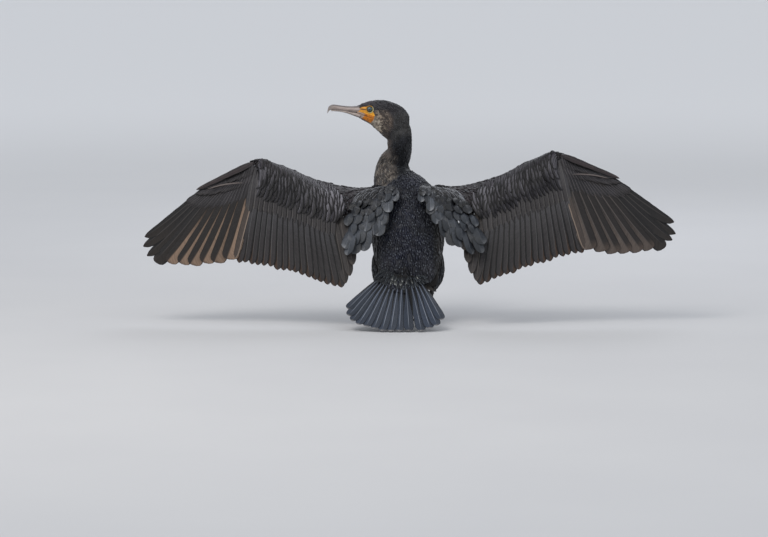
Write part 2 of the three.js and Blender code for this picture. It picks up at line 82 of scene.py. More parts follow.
def ramp(low: float, high: float, x: Array | float) -> Array | float:
    """Rises smoothly from 0 at low to 1 at high, or falls where high is the lower of the two."""
    t = np.clip((np.asarray(x, float) - low) / (high - low), 0, 1)
    return t * t * (3 - 2 * t)


def linear_rgb(colour: str) -> Array:
    """Turns an sRGB hex colour into linear red, green and blue."""
    srgb = np.array([int(colour[i : i + 2], 16) for i in (1, 3, 5)]) / 255
    return np.where(srgb <= 0.04045, srgb / 12.92, ((srgb + 0.055) / 1.055) ** 2.4)


class Side(IntEnum):
    """The bird's two sides, each the sign of X on it."""

    LEFT = -1
    RIGHT = 1

    @property
    def word(self) -> str:
        """Gives the side as the names of pieces and nodes have it."""
        return self.name.lower()

    @property
    def mirror(self) -> Array:
        """Gives the factors that carry the right side's points to this side."""
        return vec(self, 1, 1)


class Paint:
    """Linear colours, one row a point, with others laid over them."""

    def __init__(self, rows: Array) -> None:
        """Starts from the ground colours."""
        self.rows = rows

    def lay(self, colour: str, share: Array) -> None:
        """Lays a colour over the rows by a share from 0 to 1."""
        amount = np.clip(share, 0, 1)[:, None]
        self.rows = self.rows * (1 - amount) + linear_rgb(colour) * amount


def link(name: str, mesh: bpy.types.Mesh) -> Piece:
    """Makes an object of a mesh.

    Args:
        name: The object's name.
        mesh: Its mesh.

    Returns:
        The object, linked to the scene.
    """
    made = bpy.data.objects.new(name, mesh)
    bpy.context.scene.collection.objects.link(made)
    return made


def ring_faces(rings: int, ring: int) -> tuple[Array, Array]:
    """Joins rings of points into a closed tube.

    Args:
        rings: How many rings.
        ring: How many points each has.

    Returns:
        Quads between the rings, and triangles over both ends.
    """
    end = (rings - 1) * ring
    quads = [(s + k, s + ring + k, s + ring + (k + 1) % ring, s + (k + 1) % ring)
             for s in range(0, end, ring) for k in range(ring)]
    caps = [face for k in range(1, ring - 1) for face in ((0, k, k + 1), (end, end + k + 1, end + k))]
    return np.array(quads), np.array(caps)


def piece_of(work: bmesh.types.BMesh, name: str) -> Piece:
    """Makes a smooth object of a bmesh, and frees the bmesh.

    Args:
        work: The bmesh, in the row frame.
        name: The object's name.

    Returns:
        The object, linked to the scene.
    """
    mesh = bpy.data.meshes.new(name)
    work.to_mesh(mesh)
    work.free()
    mesh.shade_smooth()
    return link(name, mesh)


class Table:
    """A smooth curve y(x) through a few pairs, level beyond its ends."""

    def __init__(self, *pairs: tuple[float, float]) -> None:
        """Stores the pairs and the slope at each.

        Args:
            *pairs: (x, y) in rising x.
        """
        self.x = np.array([p[0] for p in pairs], float)
        self.y = np.array([p[1] for p in pairs], float)
        before = np.maximum(np.arange(len(pairs)) - 1, 0)
        after = np.minimum(np.arange(len(pairs)) + 1, len(pairs) - 1)
        self.slope = (self.y[after] - self.y[before]) / (self.x[after] - self.x[before])

    def __call__(self, x: Array | float) -> Array | float:
        """Reads the curve.

        Args:
            x: Where to read it.

        Returns:
            The value or values there.
        """
        at = np.asarray(x, float)
        i = np.clip(np.searchsorted(self.x, at, side="right") - 1, 0, len(self.x) - 2)
        span = self.x[i + 1] - self.x[i]
        t = np.clip((at - self.x[i]) / span, 0, 1)
        rise = self.y[i + 1] - self.y[i]
        a = self.slope[i] * span - rise
        b = rise - self.slope[i + 1] * span
        value = self.y[i] + rise * t + t * (1 - t) * (a * (1 - t) + b * t)
        return value if value.ndim else float(value)


class Spline:
    """A centripetal Catmull-Rom curve through points, the same one that the solids follow."""

    def __init__(self, points: Sequence[Array]) -> None:
        """Stores the points that the curve passes through."""
        self.points = np.array(points, float)

    def at(self, t: float) -> Array:
        """Reads a point.

        Args:
            t: From 0 at the first point to 1 at the last.

        Returns:
            The point there.
        """
        pts = self.points
        place = min(max(t, 0.0), 1.0) * (len(pts) - 1)
        i = min(int(place), len(pts) - 2)
        w = place - i
        p0 = pts[i - 1] if i > 0 else 2 * pts[0] - pts[1]
        p1, p2 = pts[i], pts[i + 1]
        p3 = pts[i + 2] if i + 2 < len(pts) else 2 * pts[-1] - pts[-2]
        d0, d1, d2 = (math.sqrt(max(np.linalg.norm(b - a), 1e-4)) for a, b in ((p0, p1), (p1, p2), (p2, p3)))
        m1 = ((p1 - p0) / d0 - (p2 - p0) / (d0 + d1) + (p2 - p1) / d1) * d1
        m2 = ((p2 - p1) / d1 - (p3 - p1) / (d1 + d2) + (p3 - p2) / d2) * d1
        a = -3 * p1 + 3 * p2 - 2 * m1 - m2
        b = 2 * p1 - 2 * p2 + m1 + m2
        return p1 + m1 * w + a * w**2 + b * w**3

    def along(self, t: float) -> Array:
        """Gives the unit direction of the curve at t, from 0 at the first point to 1 at the last."""
        return unit(self.at(min(t + 1e-3, 1)) - self.at(max(t - 1e-3, 0)))

    def row(self, count: int) -> Array:
        """Reads a number of evenly spaced points."""
        return np.array([self.at(i / (count - 1)) for i in range(count)])


class Layout:
    """The named sizes of the bird, in millimetres, as the solids have them."""

    BOX_MIDDLE = vec(3, 12, 0)
    PITCH = math.radians(50)
    SPINE = vec(0, math.cos(PITCH), math.sin(PITCH))
    BACK = vec(0, -math.sin(PITCH), math.cos(PITCH))
    RIGHT = vec(1, 0, 0)
    TRUNK_TAIL = vec(0, -23, 115)
    TRUNK_LENGTH = 245.0
    TRUNK_WIDTH = Table((-0.16, 33.6), (-0.08, 54.4), (0.06, 66.4), (0.25, 76), (0.45, 80), (0.68, 77.6),
                        (0.82, 64), (0.94, 40), (1.02, 16))
    TRUNK_DEPTH = Table((-0.16, 12.4), (-0.08, 27.6), (0.06, 45.5), (0.25, 62), (0.45, 69), (0.68, 69),
                        (0.82, 59), (0.94, 41), (1.02, 18))
    TRUNK_BELLY = Table((-0.16, 2), (0.1, 8), (0.4, 18), (0.7, 14), (1.02, 0))
    NECK_LINE = Spline([vec(-4, 92, 240), vec(-17, 122, 268), vec(-30, 154, 296), vec(-31, 164, 326),
                        vec(-18.5, 150, 354), vec(-18, 134, 382), vec(-20, 126, 420)])
    NECK_WIDTH = Table((0, 52), (0.16, 51), (0.34, 45.5), (0.5, 36.5), (0.66, 28), (0.84, 28),
                       (0.93, 27.5), (1, 23.5))
    NECK_DEPTH = Table((0, 50), (0.16, 46), (0.34, 38.5), (0.5, 33), (0.66, 28), (0.84, 28),
                       (0.93, 25), (1, 16))
    HEAD_MIDDLE = 125.0
    CROWN = Table((-112, 456.4), (-99, 463), (-82, 468.4), (-64, 470.5), (-47, 469.4), (-30, 464),
                  (-13, 455.3), (-3, 445.5), (5, 431))
    CHIN = Table((-112, 434), (-99, 426.4), (-82, 417), (-64, 401), (-47, 386), (-30, 380), (-13, 384),
                 (-3, 394), (5, 409))
    CHEEK = Table((-112, 8.8), (-104, 11.5), (-96, 15), (-82, 19), (-64, 22), (-47, 23), (-30, 22), (-13, 18),
                  (-3, 13.5), (5, 7))
    EYE = vec(-82.3, 125, 450.6)
    EYE_RADIUS = 6.4
    CULMEN = Table((-174, 444), (-172, 453.2), (-168.6, 457.3), (-163.6, 459.7), (-157.8, 459.9),
                   (-149.6, 458.8), (-137.6, 457.3), (-120.8, 456.5), (-104, 457.6))
    MOUTH = Table((-174, 443.4), (-170, 447.8), (-146, 447.2), (-122.6, 444.6), (-104, 441.4))
    LOWER = Table((-166, 445.8), (-158, 445.4), (-146, 444.4), (-129, 440.3), (-116, 435.3), (-104, 431))
    BILL_WIDTH = Table((-174, 0.9), (-172, 2.2), (-168, 3.6), (-162, 4.4), (-152, 5), (-138, 5.8),
                       (-122, 7.6), (-104, 10))
    SHOULDER = vec(-52, 86, 284)
    WRIST = vec(-322, 30, 346)
    FINGER = vec(-436, 44, 290)
    RAISE = math.radians(3.5)
    ARM_FRONT = Spline([vec(-34, 104, 284), vec(-74, 96, 283), vec(-112, 88, 282), vec(-168, 75, 294),
                        vec(-211, 64, 308), vec(-254, 54, 329), vec(-288, 46, 341), vec(-322, 38, 350),
                        vec(-361, 44, 325), vec(-395, 50, 305), vec(-440, 54, 289)])
    ARM_REAR = Spline([vec(-30, 40, 228), vec(-74, 32, 228), vec(-120, 18, 232), vec(-182, 2, 238),
                       vec(-214, 4, 256), vec(-252, 8, 279), vec(-286, 14, 303), vec(-318, 22, 320),
                       vec(-356, 30, 300), vec(-392, 38, 291), vec(-436, 50, 282)])
    ARM_THICKNESS = Table((0, 44), (0.2, 36), (0.35, 28), (0.55, 22), (0.72, 19), (0.86, 13), (1, 6))
    WING_UP = unit(vec(0, -0.93, 0.37))
    TAIL_ROOT = vec(-13, -23, 115)
    TAIL_DROP = math.radians(38)
    TAIL_ALONG = vec(0, -math.cos(TAIL_DROP), -math.sin(TAIL_DROP))
    TAIL_UP = vec(0, -math.sin(TAIL_DROP), math.cos(TAIL_DROP))
    HIP, KNEE, HEEL, FOOT = vec(48, 52, 160), vec(60, 22, 108), vec(50, -20, 60), vec(42, 18, 9)

    @classmethod
    def to_row(cls, points: Array) -> Array:
        """Carries layout points in millimetres into the row frame in metres."""
        return (np.asarray(points, float) - cls.BOX_MIDDLE) / 1000

    @classmethod
    def from_row(cls, points: Array) -> Array:
        """Carries row frame points in metres back into layout millimetres."""
        return np.asarray(points, float) * 1000 + cls.BOX_MIDDLE

    @classmethod
    def placer(cls, side: Side) -> Callable[[Array], Array]:
        """Gives the map that carries the left wing's points to a side.

        Args:
            side: Which side; the right wing is held a little higher.

        Returns:
            A function of points.
        """
        if side is Side.LEFT:
            return lambda p: np.asarray(p, float)
        hinge = cls.SHOULDER * vec(-1, 1, 1)
        cos, sin = math.cos(cls.RAISE), math.sin(cls.RAISE)
        turn = np.array([[cos, 0, -sin], [0, 1, 0], [sin, 0, cos]])
        return lambda p: (np.asarray(p, float) * vec(-1, 1, 1) - hinge) @ turn.T + hinge

    @classmethod
    def arm_point(cls, t: float, c: float, rise: float) -> Array:
        """Reads a point of the left arm.

        Args:
            t: From shoulder to fingertip.
            c: From the front edge to the rear.
            rise: Share of the half thickness towards the upper side.

        Returns:
            The point.
        """
        front, rear = cls.ARM_FRONT.at(t), cls.ARM_REAR.at(t)
        up = unit(np.cross(cls.ARM_FRONT.along(t), front - rear))
        deep = cls.ARM_THICKNESS(t) / 2 * math.sqrt(max(0.0, 1 - (2 * c - 1) ** 2))
        return front + (rear - front) * c + up * (-1 if up[1] > 0 else 1) * rise * deep

    @classmethod
    def tail_ray(cls, angle: float, reach: float, rise: float) -> Array:
        """Reads a point of the fan: angle to the right in degrees, reach from the root, rise above."""
        along = cls.TAIL_ALONG * math.cos(math.radians(angle)) + cls.RIGHT * math.sin(math.radians(angle))
        return cls.TAIL_ROOT + along * reach + cls.TAIL_UP * rise


class Noise:
    """Smooth repeatable noise made of a few random waves."""

    def __init__(self, seed: int, size: float) -> None:
        """Draws the waves.

        Args:
            seed: Picks the pattern.
            size: Rough width of its blotches, in millimetres.
        """
        rng = np.random.default_rng(seed)
        self.waves = rng.normal(size=(14, 3)) / size * 2.2
        self.phase = rng.uniform(0, 2 * math.pi, 14)

    def __call__(self, points: Array) -> Array:
        """Reads the noise, mostly between -1 and 1, at a stack of points."""
        return np.sin(points @ self.waves.T + self.phase).sum(axis=1) / 3.6


def inside(points: Array, corners: Sequence[tuple[float, float]], soft: float) -> Array:
    """Measures how far inside an outline on the side of the head points lie.

    Args:
        points: A stack of layout points.
        corners: The outline as (x, z) pairs.
        soft: Width of the border.

    Returns:
        1 well inside, 0 well outside.
    """
    flat = points[:, [0, 2]]
    ring = np.array(corners, float)
    nearest = np.full(len(flat), 1e9)
    crossings = np.zeros(len(flat), int)
    for a, b in zip(ring, np.roll(ring, -1, axis=0)):
        edge = b - a
        t = np.clip(((flat - a) @ edge) / (edge @ edge), 0, 1)
        nearest = np.minimum(nearest, np.linalg.norm(flat - a - t[:, None] * edge, axis=1))
        spans = (a[1] > flat[:, 1]) != (b[1] > flat[:, 1])
        rise = edge[1] if abs(edge[1]) > 1e-9 else 1e-9
        crossings += spans & (flat[:, 0] < a[0] + (flat[:, 1] - a[1]) / rise * edge[0])
    signed = np.where(crossings % 2 == 1, nearest, -nearest)
    return ramp(-soft / 2, soft / 2, signed)


class Zone(Enum):
    """The parts of the skin that carry plumage of one kind."""

    TRUNK = "trunk"
    NECK = "neck"
    HEAD = "head"
    THIGH_LEFT = "thigh_left"
    THIGH_RIGHT = "thigh_right"
    ARM_LEFT = "arm_left"
    ARM_RIGHT = "arm_right"
    RUMP = "rump"
    BACK = "back"


@dataclass
class ZoneRule:
    """How one zone's small feathers are set."""

    spacing: float
    length: float
    width: float
    lift: float
    pointed: float


ZONE_RULES = {
    Zone.TRUNK: ZoneRule(4.0, 11.5, 7, 7, 0.25),
    Zone.RUMP: ZoneRule(3.5, 10, 6.2, 8, 0.3),
    Zone.BACK: ZoneRule(3.2, 8.6, 5.8, 8, 0.2),
    Zone.NECK: ZoneRule(3.0, 8, 3.4, 7.5, 0.7),
    Zone.HEAD: ZoneRule(2.0, 4.8, 1.9, 7, 0.8),
    Zone.THIGH_LEFT: ZoneRule(3.5, 11.5, 5.6, 5, 0.5),
    Zone.THIGH_RIGHT: ZoneRule(3.5, 11.5, 5.6, 5, 0.5),
    Zone.ARM_LEFT: ZoneRule(4.4, 9.5, 6, 4, 0.4),
    Zone.ARM_RIGHT: ZoneRule(4.4, 9.5, 6, 4, 0.4),
}


class Anatomy:
    """Answers which zone points of the skin are in, how the feathers lie there and what colour they are."""

    LORES = [(-112, 450), (-99, 455.5), (-90, 456.5), (-82, 457.5), (-75.5, 452), (-75, 446), (-71, 437),
             (-76, 434.5), (-90, 441), (-104, 444.5), (-112, 447)]
    GULAR = [(-99, 441), (-90, 441.5), (-72, 436.5), (-74, 428), (-80, 420.5), (-88, 424), (-99, 430)]
    GAPE = [(-113, 447), (-104, 445), (-92, 440.8), (-93, 437), (-100, 430), (-113, 434)]
    CHEEK_PATCH = [(-78, 441), (-62, 449), (-44, 447), (-33, 432), (-34, 414), (-48, 398), (-64, 402),
                   (-78, 412), (-84, 420)]
    CHIN_PATCH = [(-76, 436), (-68, 436), (-58, 420), (-60, 405), (-72, 408), (-84, 417)]
    NECK_SAMPLES = 90

    def __init__(self) -> None:
        """Samples the lines that the zones follow."""
        shares = np.arange(self.NECK_SAMPLES) / (self.NECK_SAMPLES - 1)
        self.neck_points = Layout.NECK_LINE.row(self.NECK_SAMPLES)
        self.neck_along = np.array([Layout.NECK_LINE.along(t) for t in shares])
        self.neck_radius = Layout.NECK_WIDTH(np.linspace(0, 1, self.NECK_SAMPLES))
        self.fine = Noise(3, 4.0)
        self.patch = Noise(5, 13.0)
        self.broad = Noise(8, 45.0)
        self.streak = Noise(12, 3.2)

    def neck_place(self, points: Array) -> tuple[Array, Array]:
        """Finds the nearest place on the neck's line.

        Args:
            points: A stack of points.

        Returns:
            Index of the nearest sample, and distance from it.
        """
        gap = np.linalg.norm(points[:, None, :] - self.neck_points[None, :, :], axis=2)
        index = gap.argmin(axis=1)
        return index, gap[np.arange(len(points)), index]

    def zones(self, points: Array) -> Array:
        """Names the zone of each point.

        Args:
            points: A stack of points on the skin.

        Returns:
            An array of Zone members.
        """
        x, y, z = points.T
        local = points - Layout.TRUNK_TAIL
        share = local @ Layout.SPINE / Layout.TRUNK_LENGTH
        deep = local @ Layout.BACK + Layout.TRUNK_BELLY(share)
        beyond = np.abs(np.clip(share, -0.16, 1.02) - share) * Layout.TRUNK_LENGTH / 12
        trunk = np.hypot(x / Layout.TRUNK_WIDTH(share), deep / Layout.TRUNK_DEPTH(share)) + beyond
        index, gap = self.neck_place(points)
        neck = gap / self.neck_radius[index]
        result = np.full(len(points), Zone.TRUNK, dtype=object)
        result[share < 0.16] = Zone.RUMP
        result[neck < trunk] = Zone.NECK
        for side, thigh, arm in ((Side.LEFT, Zone.THIGH_LEFT, Zone.ARM_LEFT),
                                 (Side.RIGHT, Zone.THIGH_RIGHT, Zone.ARM_RIGHT)):
            line = Spline([p * side.mirror for p in (Layout.HIP, Layout.KNEE, Layout.HEEL)]).row(20)
            reach = np.linalg.norm(points[:, None, :] - line[None], axis=2).min(axis=1)
            low = (trunk > 1.03) & (z < 165) & (reach < 34) & (side * x > 20)
            result[low & (share > -0.02)] = thigh
            result[(side * x > 70) & (z > 215)] = arm
        above = (points - vec(-20, 130, 386)) @ unit(vec(0.15, -0.25, 1))
        result[(above > 0) & (np.abs(x) < 130)] = Zone.HEAD
        result[(y < -45) & (z < 120)] = Zone.RUMP
        behind = (local @ Layout.BACK + Layout.TRUNK_BELLY(share) > 4) & (np.abs(x) < 64)
        result[(result == Zone.TRUNK) & behind] = Zone.BACK
        return result

    def lie(self, points: Array, zones: Array) -> Array:
        """Gives the way that the small feathers point.

        Args:
            points: A stack of points on the skin.
            zones: Their zones.

        Returns:
            Unit vectors, not yet laid into the skin.
        """
        way = np.tile(-Layout.SPINE, (len(points), 1))
        way += Layout.RIGHT * (points[:, :1] / 520)
        flank = (ramp(54, 66, np.abs(points[:, 0] + 3)) * ramp(250, 210, points[:, 2]))[:, None]
        way = unit(way) * (1 - flank) + vec(0, -0.38, -0.92) * flank
        index, _ = self.neck_place(points)
        neck = zones == Zone.NECK
        way[neck] = -self.neck_along[index[neck]]
        head = zones == Zone.HEAD
        turn = ramp(-66, -8, points[head, 0])
        way[head] = np.stack([1 - 0.5 * turn, 0 * turn, -0.12 - 2.2 * turn], axis=1)
        for zone in (Zone.THIGH_LEFT, Zone.THIGH_RIGHT):
            way[zones == zone] = vec(0, -0.45, -1)
        for zone, side in ((Zone.ARM_LEFT, -1), (Zone.ARM_RIGHT, 1)):
            way[zones == zone] = unit(vec(side * 0.12, -0.4, -1))
        rump = zones == Zone.RUMP
        low = ramp(110, 70, points[:, 2])[:, None]
        way[rump] = (way * (1 - low) + Layout.TAIL_ALONG * low)[rump]
        return unit(way)

    def aside(self, points: Array, zones: Array) -> Array:
        """Gives the way that feathers take where their zone's own way runs straight into the skin.

        Args:
            points: A stack of points on the skin.
            zones: Their zones.

        Returns:
            Unit vectors, not yet laid into the skin.
        """
        way = np.tile(Layout.BACK, (len(points), 1))
        for zone, side in ((Zone.ARM_LEFT, -1), (Zone.ARM_RIGHT, 1)):
            way[zones == zone] = vec(side * 0.9, -0.42, 0.1)
        top = ((zones == Zone.TRUNK) | (zones == Zone.BACK)) & (points[:, 2] > 240)
        way[top] = (points - vec(-14, 135, 292))[top]
        way[zones == Zone.HEAD] = vec(1, 0, -0.25)
        return unit(way)

    def bare(self, points: Array) -> Array:
        """Tells how much of the face's skin is without feathers at each point.

        Args:
            points: A stack of points.

        Returns:
            1 on bare skin, 0 in the plumage.
        """
        face = np.maximum(inside(points, self.LORES, 1.6), inside(points, self.GULAR, 1.6))
        face = np.maximum(face, inside(points, self.GAPE, 1.2))
        return np.maximum(face, ramp(8.8, 7.4, self.eye_gap(points))) * (points[:, 0] < -60)

    @staticmethod
    def eye_gap(points: Array) -> Array:
        """Measures the distance from the eye's middle as it shows from the side."""
        return np.hypot(points[:, 0] - Layout.EYE[0], points[:, 2] - Layout.EYE[2])

    @staticmethod
    def gape_line(points: Array) -> Array:
        """Measures the height above the line where the bill's halves meet, carried on across the face."""
        return points[:, 2] - (443.4 - 0.33 * (points[:, 0] + 113))

    def colours(self, points: Array, zones: Array) -> Array:
        """Paints the skin and the roots of its small feathers.

        Args:
            points: A stack of points.
            zones: Their zones.

        Returns:
            Linear colours, one row each.
        """
        x, y, z = points.T
        fine, patch, broad = self.fine(points), self.patch(points), self.broad(points)
        paint = Paint(np.tile(linear_rgb("#14161d"), (len(points), 1)))
        lay = paint.lay
        local = points - Layout.TRUNK_TAIL
        share = local @ Layout.SPINE / Layout.TRUNK_LENGTH
        over = local @ Layout.BACK + Layout.TRUNK_BELLY(share)
        trunk = (zones == Zone.TRUNK) | (zones == Zone.RUMP) | (zones == Zone.BACK)
        aside = np.abs(x + 3)
        lay("#0c1020", trunk * (0.6 + 0.4 * broad))
        flank = np.maximum(trunk * ramp(58, 68, aside), trunk * ramp(6, -14, over))
        lay("#1b1615", flank)
        # Painted shade: a near-black line in the crease along each side of the trunk, about 61 mm out, under
        # the wings.
        groove = np.exp(-(((aside - 61) / 4.5) ** 2)) * ramp(250, 225, z)
        lay("#030304", trunk * groove * ramp(-30, 0, over) * 0.9)
        saddle = trunk * ramp(0.16, -0.02, share) * ramp(-8, 6, over)
        saddle = saddle * ramp(22, 48, aside)
        lay("#34343a", saddle * ramp(64, 56, aside) * (0.55 + 0.5 * fine))
        # Painted shade: a near-black patch on the rump where the tail's root meets it.
        lay("#040406", trunk * np.exp(-(((x + 7) / 15) ** 2 + ((share + 0.06) / 0.055) ** 2)))
        neck = zones == Zone.NECK
        front = ramp(-18, -46, x + 0.12 * (y - 150))
        lay("#14161b", neck * 1.0)
        lay("#272424", neck * ramp(6, 22, x) * ramp(330, 292, z) * 0.9)
        low_front = neck * front * ramp(372, 336, z)
        lay("#4b443f", low_front * (0.75 + 0.35 * patch))
        streak = self.streak(points * vec(1, 1, 0.3))
        lay("#857c71", low_front * ramp(0.1, 0.8, streak) * 0.62)
        lay("#2b2624", low_front * ramp(-0.2, -0.8, streak) * 0.7)
        lay("#544a44", neck * ramp(-30, -44, x) * ramp(336, 352, z))
        head = zones == Zone.HEAD
        lay("#28262a", head * 1.0)
        lay("#352b32", head * ramp(455, 468, z) * ramp(-60, -95, x))
        lay("#3d3c3b", head * ramp(-46, -24, x) * ramp(456, 436, z) * 0.8)
        lay("#1a1b20", head * ramp(404, 388, z) * ramp(-34, -16, x))
        cheek = head * inside(points, self.CHEEK_PATCH, 12)
        lay("#51463f", cheek * (0.85 + 0.2 * patch))
        lay("#998b7b", cheek * ramp(-0.05, 0.6, fine) * ramp(-30, -62, x) * 0.8)
        lay("#544a44", head * ramp(-36, -48, x) * ramp(404, 392, z))
        chin = head * inside(points, self.CHIN_PATCH, 5)
        lay("#b3a898", chin * (0.7 + 0.3 * fine))
        for zone in (Zone.ARM_LEFT, Zone.ARM_RIGHT):
            arm = zones == zone
            lay("#1d181c", arm * 1.0)
            lay("#2e272b", arm * ramp(0.2, 0.8, fine) * 0.5)
        return paint.rows * (1 + 0.16 * patch + 0.1 * fine)[:, None].clip(0.5, 1.5)


@dataclass
class Ink:
    """The colours of one feather: its centre, its inner web, its margin, its shaft and its tip."""

    centre: str
    web: str
    rim: str
    shaft: str
    tip: str
    rim_width: float = 0.12
    # Widens the dark margin towards the root, as painted shade in the gaps between the feathers there.
    root_gap_shade: float = 0.0


class Inks(Enum):
    """Colours by feather group, read from the photograph and the species."""

    PRIMARY_OUTER = Ink("#1d1b1c", "#2a2522", "#0b0a0b", "#3a3634", "#2b2421", 0.16)
    PRIMARY_INNER = Ink("#211d1c", "#86705f", "#0e0c0c", "#15120f", "#2b2320", 0.08)
    PRIMARY_DULL = Ink("#262221", "#544a44", "#0e0c0c", "#4a4441", "#4a3f38", 0.1)
    PRIMARY_COVERT = Ink("#2a282b", "#333031", "#0b0a0b", "#565355", "#3b3736", 0.26)
    PRIMARY_LAST = Ink("#2b2725", "#453c37", "#7d6e62", "#3a3431", "#54473e", 0.2)
    ALULA = Ink("#2c2628", "#332b2c", "#100d0e", "#453c3b", "#4c423f", 0.14)
    PALE_EDGE = Ink("#6d6461", "#6d6461", "#3a3433", "#7d7470", "#6d6461", 0.14)
    # The secondaries' near-black margin is partly their own dark edge and partly painted shade in the gaps
    # between them.
    SECONDARY = Ink("#3c3b3e", "#2f2c2d", "#080708", "#4b4a4a", "#46362c", 0.28)
    GREATER = Ink("#3f3d3f", "#353233", "#1c1a1b", "#5a5755", "#565049", 0.16)
    # The median and lesser coverts' wide near-black margins are partly their own dark edges and partly
    # painted shade in the gaps between the curled rows.
    MEDIAN = Ink("#4f4d52", "#29272b", "#050406", "#6f6d73", "#1a171b", 0.4)
    LESSER = Ink("#353138", "#1f1c21", "#060507", "#514d55", "#0c0a0d", 0.4)
    UNDER = Ink("#2b2826", "#302c2a", "#181615", "#423d3a", "#3c3733", 0.14)
    SCAPULAR = Ink("#3b3f46", "#30343a", "#0c0d0f", "#474b52", "#6b6d71", 0.1)
    SCAPULAR_TOP = Ink("#1f2127", "#181a1f", "#07080a", "#2e3137", "#5c5f64", 0.14)
    # The mantle feathers' pale margin and tip are painted highlights along their glossy black edges.
    MANTLE = Ink("#0b0b0f", "#09090c", "#777a81", "#101116", "#8b8e94", 0.2)
    TERTIAL = Ink("#3a3635", "#312d2c", "#161413", "#514b47", "#4c443e", 0.14)
    # The tail's dark margin widens towards the root, as painted shade in the gaps between its feathers.
    TAIL = Ink("#333b49", "#2c333f", "#0a0c10", "#7b818b", "#8b8886", 0.1, 0.66)
    TAIL_COVERT = Ink("#14181c", "#101318", "#2b3037", "#1f2428", "#50555a", 0.2)
    FLANK = Ink("#1a1614", "#171311", "#221d1b", "#1d1816", "#1f1a18", 0.16)
    # Near-black coverts over the tail's root, painted shade in the notch there.
    TAIL_BLACK = Ink("#050506", "#050506", "#030303", "#08090a", "#0b0c0e", 0.2)
    SPOT = Ink("#2a2d2f", "#232628", "#0c0d0e", "#6a6c6a", "#a9aaa8", 0.14)


@dataclass
class Feather:
    """One large feather, placed on the left side of the bird."""

    root: Array
    tip: Array
    up: Array
    width: float
    ink: Inks
    bow: float = 4.0
    sweep: float = 0.0
    lean: float = 0.0
    shaft_at: float = 0.5
    profile: Table = field(default_factory=lambda: ROUND_TIP)
    shade: float = 1.0
    camber: float = 0.06
    web_from: float = 0.3
    tip_from: float = 0.92


ROUND_TIP = Table((0, 0.3), (0.12, 0.62), (0.4, 0.92), (0.75, 1), (0.9, 0.93), (0.96, 0.74), (0.99, 0.42),
                  (1, 0.12))
SCALLOP_TIP = Table((0, 0.3), (0.15, 0.7), (0.5, 0.96), (0.88, 1), (0.95, 0.9), (0.985, 0.5), (1, 0.05))
TAPER_TIP = Table((0, 0.3), (0.15, 0.72), (0.45, 1), (0.7, 0.92), (0.88, 0.7), (0.96, 0.46), (1, 0.08))
BROAD_TIP = Table((0, 0.35), (0.2, 0.75), (0.55, 0.98), (0.78, 1), (0.9, 0.85), (0.97, 0.5), (1, 0.1))
FAN_TIP = Table((0, 0.24), (0.3, 0.62), (0.7, 0.92), (0.88, 1), (0.94, 0.95), (0.972, 0.76), (0.99, 0.45),
                (1, 0.1))
BLUNT_TIP = Table((0, 0.3), (0.12, 0.62), (0.4, 0.9), (0.8, 1), (0.94, 0.97), (0.975, 0.84), (0.993, 0.5),
                  (1, 0.2))
SCALE_TIP = Table((0, 0.35), (0.25, 0.8), (0.55, 1), (0.76, 0.95), (0.88, 0.7), (0.96, 0.34), (1, 0.05))


class MeshMaker:
    """Gathers vertices, faces and attributes, and makes one object of them."""

    def __init__(self, name: str) -> None:
        """Starts empty.

        Args:
            name: Name of the object to be.
        """
        self.name = name
        self.points: list[Array] = []
        self.quads: list[Array] = []
        self.triangles: list[Array] = []
        self.values: dict[str, list[Array]] = {}
        self.corners: list[Array] = []
        self.total = 0

    def add(self, points: Array, quads: Array, triangles: Array, uv: Array, **values: Array) -> None:
        """Adds one patch.

        Args:
            points: Its points, in layout millimetres.
            quads: Four point numbers a row, counted within the patch.
            triangles: Three point numbers a row.
            uv: One pair a point.
            **values: Named attributes, one row a point.
        """
        self.points.append(points)
        self.quads.append(quads + self.total)
        self.triangles.append(triangles + self.total)
        self.corners.append(uv)
        for name, value in values.items():
            self.values.setdefault(name, []).append(value)
        self.total += len(points)

    def build(self) -> Piece:
        """Makes the object.

        Returns:
            The new object, in the row frame, its faces turned outwards.
        """
        points = Layout.to_row(np.concatenate(self.points))
        quads = np.concatenate(self.quads).astype(np.int32)
        triangles = np.concatenate(self.triangles).astype(np.int32)
        mesh = bpy.data.meshes.new(self.name)
        mesh.vertices.add(len(points))
        mesh.vertices.foreach_set("co", points.astype(np.float32).ravel())
        loops = np.concatenate([quads.ravel(), triangles.ravel()])
        mesh.loops.add(len(loops))
        mesh.loops.foreach_set("vertex_index", loops)
        starts = np.concatenate([np.arange(len(quads)) * 4, len(quads) * 4 + np.arange(len(triangles)) * 3])
        mesh.polygons.add(len(starts))
        mesh.polygons.foreach_set("loop_start", starts.astype(np.int32))
        mesh.polygons.foreach_set("use_smooth", np.ones(len(starts), bool))
        mesh.update(calc_edges=True)
        uv = np.concatenate(self.corners)
        layer = mesh.uv_layers.new(name="OFBake")
        layer.data.foreach_set("uv", uv[loops].astype(np.float32).ravel())
        for name, rows in self.values.items():
            value = np.concatenate(rows)
            kind, key = ("FLOAT", "value") if value.ndim == 1 else ("FLOAT_VECTOR", "vector")
            if value.ndim == 2 and value.shape[1] == 4:
                kind, key = "FLOAT_COLOR", "color"
            attribute = mesh.attributes.new(name, kind, "POINT")
            attribute.data.foreach_set(key, value.astype(np.float32).ravel())
        mesh.validate()
        made = link(self.name, mesh)
        if signed_volume(made) < 0:
            mesh.flip_normals()
        return made


def with_alpha(colours: Array) -> Array:
    """Adds a full alpha to rows of linear colour."""
    return np.concatenate([colours, np.ones((len(colours), 1))], axis=1)


